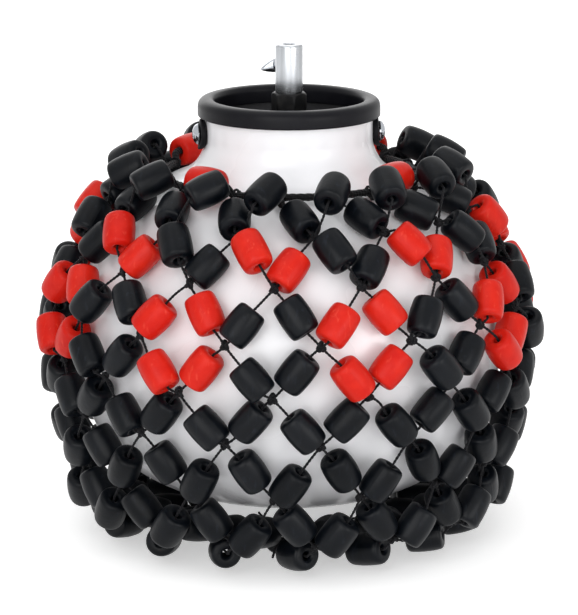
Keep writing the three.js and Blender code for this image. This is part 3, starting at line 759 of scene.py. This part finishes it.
def rim_band():
    """A rubber channel over the neck's edge, whose top is a round roll."""
    top = RIM_BOTTOM + RIM_HEIGHT
    groove_outer = NECK_RADIUS + CLEARANCE
    groove_inner = NECK_RADIUS - SHELL_WALL - CLEARANCE
    lip = groove_inner - RIM_LIP
    profile = rounded([
        (groove_outer, RIM_BOTTOM, 0.3), (RIM_RADIUS, RIM_BOTTOM, 1.0), (RIM_RADIUS, top, 5.0),
        (lip, top, 3.6), (lip, RIM_BOTTOM, 0.5), (groove_inner, RIM_BOTTOM, 0.3),
        (groove_inner, NECK_TOP + CLEARANCE, 0), (groove_outer, NECK_TOP + CLEARANCE, 0)], 10)
    piece("rim_rubber_band", [turned(profile, SHELL_SEGMENTS)], RUBBER, ["rim_band"])


def bottom_grommet():
    """A rubber ring with a flange on each side of the shell's floor."""
    below = -SHELL_DEPTH - CLEARANCE
    above = -SHELL_DEPTH + SHELL_WALL + CLEARANCE
    waist = BOTTOM_HOLE_RADIUS - CLEARANCE
    flange = BOTTOM_HOLE_RADIUS + GROMMET_FLANGE
    bottom, top = below - GROMMET_FLANGE_THICKNESS, above + GROMMET_FLANGE_THICKNESS
    profile = rounded([
        (GROMMET_BORE, bottom, 0.9), (flange, bottom, 1.1), (flange, below, 0.6), (waist, below, 0.2),
        (waist, above, 0.2), (flange, above, 0.6), (flange, top, 1.1), (GROMMET_BORE, top, 0.9)])
    piece("rod_grommet", [turned(profile)], GROMMET_RUBBER, ["bottom_grommet"])


# Bracket and side fasteners
EAR_OUTER = NECK_RADIUS - SHELL_WALL - BRACKET_EAR_GAP


def neck_bracket():
    """A bar bent into a U: a flat section with round edges follows the bend and narrows to round ears."""
    middle = BRACKET_THICKNESS / 2
    reach, crown, foot = EAR_OUTER - middle, BRACKET_TOP - middle, BRACKET_TOP - BRACKET_EAR_DROP
    half = BRACKET_WIDTH / 2
    ease = np.linspace(0.15, math.pi / 2, 10)
    drop = foot + half * (1 - np.cos(ease))
    bend = np.linspace(0, math.pi / 2, 9)
    corner = reach - BRACKET_BEND
    arm_x = np.concatenate([reach + 0 * drop, corner + BRACKET_BEND * np.cos(bend)])
    arm_z = np.concatenate([drop, crown - BRACKET_BEND + BRACKET_BEND * np.sin(bend)])
    spread = np.concatenate([half * np.sin(ease), half + 0 * bend])
    x = np.concatenate([-arm_x, arm_x[::-1]])
    z = np.concatenate([arm_z, arm_z[::-1]])
    wide = np.concatenate([spread, spread[::-1]])
    line = np.stack([x, 0 * x, z], axis=-1)
    along = unit(np.gradient(line, axis=0))
    out = np.stack([-along[:, 2], 0 * x, along[:, 0]], axis=-1)
    angle = circle(BRACKET_SIDES)
    flat = squared(np.cos(angle), 0.2)
    thick = squared(np.sin(angle), 0.35) * middle
    points = (line[:, None] + out[:, None] * thick[None, :, None]
              + np.array([0, 1, 0]) * (wide[:, None] * flat)[..., None])
    grid = Grid(turn_about_rod(capped(points, line), BRACKET_TURN))
    piece("neck_crossbar", [grid], OXIDE, ["neck_bracket"])


def neck_reach(height):
    """The neck's outer radius at a height, straight above its foot and flared below it."""
    below = outline_at(np.linspace(0, 0.1, 40))[::-1]
    return np.where(height > NECK_FOOT, NECK_RADIUS, np.interp(height, below[:, 1], below[:, 0]))


def side_washer():
    """A thick rubber pad that follows the neck: a disc with round edges laid on the neck's surface."""
    ease = np.linspace(0, math.pi / 2, 6)
    flat = WASHER_RADIUS - PAD_EDGE
    rho = np.concatenate([[0, WASHER_RADIUS / 2], flat + PAD_EDGE * np.sin(ease),
                          flat + PAD_EDGE * np.cos(ease), [WASHER_RADIUS / 2, 0]])
    proud = np.concatenate([[1, 1], 1 - 0.3 * PAD_EDGE * (1 - np.cos(ease)),
                            0.7 - 0.7 * np.sin(ease), [0, 0]]) * WASHER_THICKNESS
    angle = circle(PAD_SEGMENTS)
    y = rho[:, None] * np.cos(angle)
    z = BOLT_AXIS_HEIGHT + rho[:, None] * np.sin(angle)
    x = np.sqrt(neck_reach(z)**2 - y**2) + CLEARANCE + proud[:, None]
    return Grid(np.stack([x, y, z], axis=-1))


def button_head(seat):
    """A domed bolt head: rings rise as a part of a circle and sink into a hexagon socket."""
    angle = circle(HEAD_SEGMENTS)
    socket = hexagon(angle, SOCKET_ACROSS)
    share = np.linspace(0, 1, 9)[:, None]
    ring = socket * (1 - share) + BOLT_HEAD_RADIUS * share
    rise = BOLT_HEAD_HEIGHT * np.sqrt(np.clip(1 - (ring / BOLT_HEAD_RADIUS)**2 * 0.97, 0, 1))
    well = np.stack([0 * socket, socket * 0.98, socket])
    well_rise = np.stack([rise[0] - SOCKET_DEPTH] * 2 + [rise[0] - 0.1])
    under = np.stack([BOLT_HEAD_RADIUS * 0.97 + 0 * angle, 0 * angle])
    r = np.concatenate([well, ring, under])
    return round_z(r, angle, np.concatenate([well_rise, rise, 0 * under]) + seat, closed=False)


def side_fasteners(side, turn):
    """What holds one ear of the bracket: pad and bolt outside the neck, washer and nut inside."""
    washer_outer = EAR_OUTER - BRACKET_THICKNESS - CLEARANCE
    washer_inner = washer_outer - INNER_WASHER_THICKNESS
    nut_outer = washer_inner - CLEARANCE
    nut_inner = nut_outer - BOLT_NUT_THICKNESS
    seat = NECK_RADIUS + 2 * CLEARANCE + WASHER_THICKNESS
    bore = BOLT_RADIUS + CLEARANCE

    def set_round(points):
        return turn_about_rod(points, turn + BRACKET_TURN)

    def laid(grid):
        return grid.moved(lambda points: set_round(along_x(points) + [0, 0, BOLT_AXIS_HEIGHT]))

    pad = side_washer().moved(set_round)
    piece(f"{side}_neck_pad", [pad], GROMMET_RUBBER, [f"{side}_side_washer"])
    shank = threaded(BOLT_RADIUS, BOLT_PITCH, nut_inner - BOLT_TIP_PROUD, seat)
    piece(f"{side}_button_bolt", [laid(button_head(seat)), laid(shank)], CHROME, [f"{side}_side_bolt"])
    ring = washer(bore, INNER_WASHER_RADIUS, washer_inner, washer_outer, 0.3)
    piece(f"{side}_ear_washer", [laid(ring)], ZINC, [f"{side}_inner_washer"])
    ear_nut = nut(BOLT_NUT_ACROSS, BOLT_RADIUS, nut_inner, nut_outer, 0.6)
    piece(f"{side}_ear_nut", [laid(ear_nut)], ZINC, [f"{side}_bolt_nut"])


# Rod clamp
def rod_clamp():
    """The tube with its threaded shank, between nuts and washers that grip the bracket."""
    washer_bottom = BRACKET_TOP + CLEARANCE
    nut_bottom = washer_bottom + HUB_WASHER_THICKNESS + CLEARANCE
    nut_top = nut_bottom + HUB_THICKNESS
    shoulder = nut_top + CLEARANCE
    lock_washer_top = BRACKET_TOP - BRACKET_THICKNESS - CLEARANCE
    lock_nut_top = lock_washer_top - HUB_WASHER_THICKNESS - CLEARANCE
    body = rounded([
        (ROD_BORE_RADIUS, nut_top - 2, 0), (SHANK_RADIUS, nut_top - 2, 0), (SHANK_RADIUS, shoulder, 0),
        (TUBE_RADIUS, shoulder, 0.4), (TUBE_RADIUS, TUBE_TOP - TUBE_EDGE, 0.5),
        (TUBE_RADIUS - TUBE_EDGE, TUBE_TOP, 0.4), (ROD_BORE_RADIUS, TUBE_TOP, 0.5)])
    shank = threaded(SHANK_RADIUS, SHANK_PITCH, SHANK_BOTTOM, nut_top - 1, ROD_BORE_RADIUS)
    piece("rod_tube", [turned(body), shank], TUBE_METAL, ["clamp_tube"])
    hub_nut = nut(HUB_ACROSS, SHANK_RADIUS, nut_bottom, nut_top, HUB_EDGE)
    piece("hub_hex_nut", [hub_nut], OXIDE, ["hub_nut"])
    lock_nut = nut(HUB_ACROSS, SHANK_RADIUS, lock_nut_top - LOCK_NUT_THICKNESS, lock_nut_top, 1.0)
    piece("lock_hex_nut", [lock_nut], ZINC, ["lock_nut"])
    lock_washer_bottom = lock_washer_top - HUB_WASHER_THICKNESS
    for name, low, finish, node in (("hub_flat_washer", washer_bottom, OXIDE, "hub_washer"),
                                    ("lock_flat_washer", lock_washer_bottom, ZINC, "lock_washer")):
        ring = washer(SHANK_RADIUS + CLEARANCE, HUB_WASHER_RADIUS, low, low + HUB_WASHER_THICKNESS, 0.35)
        piece(name, [ring], finish, [node])


def wing(hand):
    """One wing: a rounded three-cornered blade, square at the hub, whose edges run together to one corner.

    The wing on the other side is the same blade turned half round the screw.
    """
    t = np.linspace(0, 1, 22)[:, None]
    angle = circle(WING_SIDES)
    close = np.sqrt(np.clip(1 - t**6, 0, 1))
    tall = WING_HEIGHT / 2 * (1 - 0.74 * t**1.25) * close
    sink = WING_HEIGHT / 2 * 0.62 * t**1.25
    thick = WING_THICKNESS / 2 * (1.15 - 0.35 * t) * close
    start = TUBE_RADIUS + WING_HUB_GAP + WING_HUB_LENGTH / 2
    x = hand * t * WING_SPAN / 2
    y = start + WING_SWEEP * t**1.3 + thick * squared(np.cos(angle), 0.7)
    z = WING_SCREW_HEIGHT + hand * sink + tall * squared(np.sin(angle), 0.7)
    points = np.stack([x + 0 * angle, y, z], axis=-1)
    root = points[:1].mean(axis=1, keepdims=True) + 0 * points[:1]
    return Grid(np.concatenate([root, points]))


def wing_screw():
    """A hub with a thread and two wings, behind the tube."""
    hub_start = TUBE_RADIUS + WING_HUB_GAP
    hub_end = hub_start + WING_HUB_LENGTH
    profile = rounded([(0, hub_start, 0), (WING_HUB_RADIUS * 0.8, hub_start, 0.6),
                       (WING_HUB_RADIUS, hub_end - 3, 1.5), (WING_HUB_RADIUS * 0.55, hub_end, 0.9),
                       (0, hub_end, 0)])
    hub = turned(profile, closed=False)
    screw = threaded(WING_SCREW_RADIUS, WING_SCREW_PITCH, ROD_BORE_RADIUS + CLEARANCE, hub_start + 1)
    laid = [g.moved(lambda points: along_y(points) + [0, 0, WING_SCREW_HEIGHT]) for g in (hub, screw)]
    piece("wing_clamp_screw", laid + [wing(-1), wing(1)], CHROME, ["wing_screw"], "wing_screw")


# Bead net
BEAD_HALF_PROFILE = np.array([(0.96, 0.62), (0.845, 0.925), (0.58, 1.0)])


def subdivided_to(points):
    """Control points whose subdivided surface passes through the given closed grid.

    Along a closed line of control points the smooth surface passes through a sixth of each neighbour and two
    thirds of the point itself, so the controls are the solution of those equations, along and round the grid.
    """
    for axis in (0, 1):
        count = points.shape[axis]
        share = np.eye(count) * 2 / 3 + (np.roll(np.eye(count), 1, 0) + np.roll(np.eye(count), -1, 0)) / 6
        points = np.moveaxis(np.tensordot(np.linalg.inv(share), points, axes=(1, axis)), 0, axis)
    return points


def bead(centre, along, side, bore=BEAD_BORE):
    """A bored barrel: a closed profile of radius and length turned about the cord, coarse, to be subdivided.

    The sides bulge a little, the ends are flat with a dimple at the bore's mouth. The size, a slow swell
    round the bead and a lean of one end are drawn for each bead, and it is tilted a few degrees.
    """
    radius = BEAD_RADIUS * draw.uniform(BEAD_SMALLEST, 1.0)
    half = BEAD_HALF * draw.uniform(BEAD_SMALLEST, 1.0)
    phase = draw.uniform(0, 2 * math.pi, 3)
    tilt = draw.normal(0, BEAD_TILT, 2)
    tone = draw.uniform(0, 1)
    bulge = draw.uniform(-BEAD_BULGE, BEAD_BULGE)
    wall = BEAD_HALF_PROFILE * [radius * (1 - bulge), half]
    mouth = [(bore + BEAD_DIMPLE, half * 0.985), (bore + BEAD_MOUTH, half * 0.9), (bore, half * 0.7)]
    upper = np.concatenate([wall, mouth])
    profile = np.concatenate([[(radius, 0)], upper, [(bore, 0)], upper[::-1] * [1, -1]])
    r, z = profile[:, :1], profile[:, 1:, None]
    angle = circle(BEAD_SEGMENTS)
    swell = BEAD_OVAL * np.sin(2 * angle + phase[0]) + BEAD_LEAN * z[..., 0] / half * np.sin(angle + phase[2])
    reach = r * (1 + swell * (r > radius / 2))
    second = np.cross(along, side)
    forward = unit(along + side * tilt[0] + second * tilt[1])
    first = square_to(side, forward)
    second = np.cross(forward, first)
    points = section(centre + forward * z, first, second, reach, angle + phase[1])
    return Grid(subdivided_to(points), closed=True, tone=tone)


def tube(path, reference, radius=CORD_DRAWN_RADIUS, plies=2, pitch=CORD_PITCH, lobe=CORD_LOBE,
         closed=False, sides=CORD_SIDES):
    """A cord: a section whose radius swells once per ply, turning once per pitch as it follows the path."""
    gradient = np.roll(path, -1, axis=0) - np.roll(path, 1, axis=0) if closed else np.gradient(path, axis=0)
    along = unit(gradient)
    first = square_to(np.broadcast_to(reference, path.shape), along)
    second = np.cross(along, first)
    steps = np.linalg.norm(np.diff(path, axis=0, append=path[:1]), axis=1)
    length = np.concatenate([[0], np.cumsum(steps)])
    v = length if closed else length[:-1]
    if closed:
        pitch = length[-1] / max(1, round(length[-1] / pitch))
    angle = circle(sides)
    turn = 2 * math.pi * length[:-1, None] / pitch
    reach = radius * (1 - lobe / 2 + lobe * np.cos(plies * (angle - turn)))
    points = section(path[:, None], first[:, None], second[:, None], reach, angle)
    if closed:
        return Grid(points, closed=True, v=v)
    return Grid(capped(points, path), v=np.concatenate([v[:1], v, v[-1:]]))


def straight(start, end, step=CORD_STEP, bow=0.0, side=None):
    """Points from start up to end, bowed sideways as half a sine wave."""
    count = max(2, int(np.linalg.norm(end - start) / step))
    t = np.linspace(0, 1, count, endpoint=False)[:, None]
    path = start + (end - start) * t
    return path if side is None else path + side * bow * np.sin(math.pi * t)


def knot(centre, along, side, size):
    """A tied knot: the cord wound as a trefoil, flat on the shell, with a random turn."""
    spin = draw.uniform(0, 2 * math.pi)
    t = circle(KNOT_STEPS) + spin
    across = np.cross(along, side)
    wide = (np.sin(t) + 2 * np.sin(2 * t)) / 3
    tall = (np.cos(t) - 2 * np.cos(2 * t)) / 3
    path = (centre + across * (wide * size)[:, None] + along * (tall * size * KNOT_TALL_SHARE)[:, None]
            - side * (np.sin(3 * t) * size * KNOT_DEEP_SHARE)[:, None])
    return tube(path, side, CORD_DRAWN_RADIUS * KNOT_CORD_SHARE, lobe=0.12, closed=True, sides=6)


def loose_end(start, direction, side, length):
    """A short cut end of cord that leaves a knot and curls over."""
    t = np.linspace(0, 1, int(length / CORD_STEP))[:, None]
    curl = draw.normal(0, CORD_CURL, 2)
    across = np.cross(direction, side)
    path = start + direction * length * t + across * curl[0] * length * t**2 + side * curl[1] * length * t**2
    return tube(path, side)


def hitch(centre, to_knot, up, radius, hand):
    """Half a hitch: the cord leaves its knot, goes once round a thicker cord and comes back beside itself."""
    sideways = unit(np.cross(to_knot, up))
    share = np.linspace(*HITCH_SHARES, HITCH_STEPS)[:, None]
    turn = math.pi * share
    spoke = to_knot * np.cos(turn) + up * hand * np.sin(turn)
    middle = centre + sideways * hand * CORD_RADIUS * (1.6 - share)
    return middle + spoke * radius


def leg_path(hand, top_angle):
    """The cord of one leg: down from its hitch, from knot to knot, and straight through each bead."""
    here = leg_knot(hand, 0, top_angle, tied=True)
    to_knot = polar(top_angle, *outline_along(ROW_PLACE_SHARES[0]))
    up = outward(top_angle, ROW_PLACE_SHARES[0])
    runs = [hitch(polar(top_angle, *NECK_RING_LINE), to_knot, up, LOOP_RADIUS, hand)[::-1]]
    for row in range(LEG_ROWS):
        centre, along, side = leg_bead(hand, row, top_angle)
        mouth, exit_ = centre - along * BEAD_HALF, centre + along * BEAD_HALF
        bow = draw.normal(0, CORD_BOW)
        across = np.cross(along, side)
        after = leg_knot(hand, row + 1, top_angle, tied=True)
        runs += [straight(here, mouth, bow=bow, side=across), straight(mouth, exit_, 3.0),
                 straight(exit_, after, bow=-bow, side=across)]
        here = after
    runs.append(here[None])
    return np.concatenate(runs)


def is_red(column, row):
    """The red band: the second row of the odd strands, the third and fourth rows of the even ones."""
    return row == 1 if column % 2 else row in (2, 3)


def bead_strand(column):
    """One strand: black beads, red beads and the cord that carries them, as three pieces."""
    label = f"{column + 1:02d}"
    top_angle = top_shift(column)
    black, red, cords = [], [], []
    for hand in (-1, 1):
        for row in range(LEG_ROWS):
            (red if is_red(column, row) else black).append(bead(*leg_bead(hand, row, top_angle)))
        path = leg_path(hand, top_angle)
        cords.append(tube(path, polar(np.arctan2(path[:, 0], -path[:, 1]), 1.0, 0.35)))
    for row in range(LEG_ROWS + 1):
        spot = leg_knot(1, row, top_angle, tied=True)
        around = math.atan2(spot[0], -spot[1])
        along = polar(around, *outline_along(ROW_PLACE_SHARES[row]))
        side = outward(around, ROW_PLACE_SHARES[row])
        cords.append(knot(spot, along, side, KNOT_RADIUS * draw.uniform(*KNOT_SHARES)))
    end_bead, end_cords = strand_end()
    black.append(end_bead)
    cords += end_cords
    for grids, part, finish in ((black, "black_beads", BEAD_BLACK), (red, "red_beads", BEAD_RED),
                                (cords, "cord", CORD)):
        turned_grids = [g.moved(lambda points: turn_about_rod(points, column * STEP)) for g in grids]
        finer = 0 if part == "cord" else BEAD_FINENESS
        piece(f"strand_{label}_{part}", turned_grids, finish, [f"bead_strand_{label}"], "net", finer)


def strand_end():
    """The last bead below the lowest knot, its cords hitched round the bottom ring, and cut ends."""
    start = row_line(LEG_ROWS)
    tangent = unit(BOTTOM_RING_LINE - start)
    to_knot = polar(0.0, *-tangent)
    along = -to_knot
    up = -polar(0.0, -tangent[1], tangent[0])
    centre = polar(0.0, *BOTTOM_RING_LINE)
    begin = polar(0.0, *start)
    end = centre + to_knot * (BOTTOM_LOOP_RADIUS + KNOT_RADIUS)
    last = bead(begin + (end - begin) * TAIL_SLIDE_SHARE, along, up)
    path = np.concatenate([straight(begin, end, 1.2), end[None]])
    cords = [tube(path, up), knot(end, along, up, KNOT_RADIUS * TAIL_KNOT_SHARE)]
    cords += [tube(hitch(centre, to_knot, up, BOTTOM_LOOP_RADIUS, hand), up) for hand in (-1, 1)]
    sideways = np.cross(along, up)
    for spot, way, length in ((begin, -up, 9.0), (begin, sideways, 11.0),
                              (end, along, 8.0), (end, -sideways, 10.0)):
        lean = unit(way + draw.normal(0, CORD_CURL, 3))
        cords.append(loose_end(spot, lean, up + 0.01 * sideways, length * draw.uniform(*LOOSE_END_SHARES)))
    return last, cords


def closed_curve(spots):
    """A smooth closed path through points in a circle, a cubic in each span."""
    t = np.linspace(0, 1, RING_SPAN_STEPS, endpoint=False)[None, :, None]
    return cubic(*(np.roll(spots, -k, axis=0)[:, None] for k in (-1, 0, 1, 2)), t).reshape(-1, 3)


def neck_ring():
    """The thick ring of cord: level between the hitches, raised where it passes through a red bead."""
    spots = []
    flat = (CORD_RADIUS + KNOT_RADIUS) / NECK_RING_LINE[0]
    for column in range(COLUMNS):
        here = column * STEP + top_shift(column)
        after = (column + 1) * STEP + top_shift(column + 1)
        spots += [ring_spot(here - flat, 0), ring_spot(here + flat, 0)]
        if column in RING_BEAD_COLUMNS:
            middle = ring_bead_angle(column)
            spots += [ring_spot(middle - RING_BEAD_SPREAD, RING_BEAD_LIFT),
                      ring_spot(middle + RING_BEAD_SPREAD, RING_BEAD_LIFT)]
        else:
            spots.append(ring_spot((here + after) / 2, 0))
    path = closed_curve(np.array(spots))
    reference = polar(np.arctan2(path[:, 0], -path[:, 1]), *outline_normal(ROW_PLACE_SHARES[0]))
    ring = tube(path, reference, NECK_CORD_RADIUS, plies=4, pitch=NECK_CORD_PITCH, lobe=0.07, closed=True,
                sides=2 * CORD_SIDES)
    piece("neck_ring_cord", [ring], BRAID, ["neck_ring"], "net")


def ring_beads():
    """Red beads threaded on the neck ring, bored wide for the thick cord."""
    for number, gap in enumerate(RING_BEAD_GAPS, start=1):
        angle = ring_bead_angle(gap)
        ends = [ring_spot(angle + turn * RING_BEAD_SPREAD, RING_BEAD_LIFT) for turn in (-1, 1)]
        along = polar(angle + math.pi / 2, 1.0, 0.0)
        side = outward(angle, ROW_PLACE_SHARES[0])
        grid = bead((ends[0] + ends[1]) / 2, along, side, bore=NECK_CORD_RADIUS + CLEARANCE)
        piece(f"ring_red_bead_{number}", [grid], BEAD_RED, [f"ring_bead_{number}"], "net", BEAD_FINENESS)


def bottom_ring():
    """The closed cord that gathers the strands under the shell."""
    angle = circle(BOTTOM_RING_STEPS)
    wave = 0.5 * np.sin(COLUMNS * angle)
    path = polar(angle, BOTTOM_RING_LINE[0] + wave, BOTTOM_RING_LINE[1] + 0 * angle)
    ring = tube(path, np.array([0.0, 0.0, 1.0]), BOTTOM_CORD_RADIUS, pitch=BOTTOM_CORD_PITCH, closed=True)
    piece("bottom_ring_cord", [ring], BRAID, ["bottom_ring"], "net")


gourd_shell()
rim_band()
bottom_grommet()
neck_bracket()
side_fasteners("left", math.pi)
side_fasteners("right", 0.0)
rod_clamp()
wing_screw()
neck_ring()
ring_beads()
bottom_ring()
for strand_column in range(COLUMNS):
    bead_strand(strand_column)

# Camera, at the photograph's angle: it looks at the origin from the left of the front and a little above
VIEW_AZIMUTH = math.radians(-18.7)
VIEW_ELEVATION = math.radians(13.6)
VIEW_DISTANCE = 1.62
IMAGE_WIDTH = 578
FOCAL_PIXELS = 3000
SENSOR_WIDTH = 36.0


def camera():
    data = bpy.data.cameras.new("camera")
    data.sensor_fit = "HORIZONTAL"
    data.sensor_width = SENSOR_WIDTH
    data.lens = FOCAL_PIXELS * SENSOR_WIDTH / IMAGE_WIDTH
    obj = placed("camera", data)
    flat = VIEW_DISTANCE * math.cos(VIEW_ELEVATION)
    obj.location = (flat * math.sin(VIEW_AZIMUTH), -flat * math.cos(VIEW_AZIMUTH),
                    VIEW_DISTANCE * math.sin(VIEW_ELEVATION))
    obj.rotation_euler = (math.pi / 2 - VIEW_ELEVATION, 0, VIEW_AZIMUTH)
    bpy.context.scene.camera = obj


# Stage: a white floor that keeps a soft shadow, a white surround and soft boxes
FLOOR_GAP = 0.0005
FLOOR_REACH = 6.0
FLOOR_GLOW = 0.45
SURROUND_LIGHT = 0.54
GAP_WIDTH = 0.24
GAP_DARKNESS = 0.8
# Soft boxes: name, place, width and power
SOFT_BOXES = [
    ("overhead", (-0.3, -0.3, 1.9), 2.0, 10.0),
    ("front_left", (-1.45, -2.35, 0.8), 2.2, 41.0),
    ("front_right", (0.95, -2.5, 0.1), 1.7, 27.0),
    ("behind", (0.3, 2.0, 0.9), 1.8, 11.0),
]


def floor(lowest):
    """A white floor under the lowest beads, a little brighter where it is looked at."""
    mesh = bpy.data.meshes.new("floor")
    corners = [(x * FLOOR_REACH, y * FLOOR_REACH, lowest - FLOOR_GAP)
               for x, y in ((-1, -1), (1, -1), (1, 1), (-1, 1))]
    mesh.from_pydata(corners, [], [(0, 1, 2, 3)])
    paint = Finish("floor_white", Base_Color=colour(250, 250, 250), Roughness=0.9, Specular_IOR_Level=0.0,
                   Emission_Strength=FLOOR_GLOW)
    paint.feed(Emission_Color=paint.mixed(paint.seen_directly(), (0, 0, 0), (255, 255, 255)))
    mesh.materials.append(paint.material)
    obj = placed("floor", mesh)
    obj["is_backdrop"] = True


def surround():
    """White where it is looked at, with a dark gap in front for mirrors, and plain light elsewhere."""
    world = bpy.data.worlds.new("surround")
    world.use_nodes = True
    bpy.context.scene.world = world
    web = Web(world.node_tree)
    toward = web.node("ShaderNodeTexCoord", {})
    c, s = math.cos(VIEW_AZIMUTH), math.sin(VIEW_AZIMUTH)
    dot = {"operation": "DOT_PRODUCT"}
    sideways, forward = (web.node("ShaderNodeVectorMath", dot, toward, way, output=1)
                         for way in ((c, s, 0.0), (s, -c, 0.0)))
    gap = sideways.size().over(GAP_WIDTH, GAP_WIDTH / 2) * forward.over(0.0, 0.2)
    looked_at = web.node("ShaderNodeLightPath", {})
    shade = 1 - gap * GAP_DARKNESS * (1 - looked_at)
    strength = web.seen_directly() * (shade - SURROUND_LIGHT) + SURROUND_LIGHT
    background = web.tree.nodes["Background"]
    background.inputs["Color"].default_value = (1, 1, 1, 1)
    web.fill(background.inputs["Strength"], strength)


def soft_box(name, place, size, power):
    """A square lamp that faces the gourd's middle."""
    data = bpy.data.lights.new(name, "AREA")
    data.size = size
    data.energy = power
    obj = placed(name, data)
    obj.location = place
    azimuth = math.atan2(place[0], -place[1])
    elevation = math.atan2(place[2], math.hypot(place[0], place[1]))
    obj.rotation_euler = (math.pi / 2 - elevation, 0, azimuth)


camera()
floor(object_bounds()[0][2])
surround()
for box_facts in SOFT_BOXES:
    soft_box(*box_facts)
bpy.context.scene.view_settings.view_transform = "Standard"
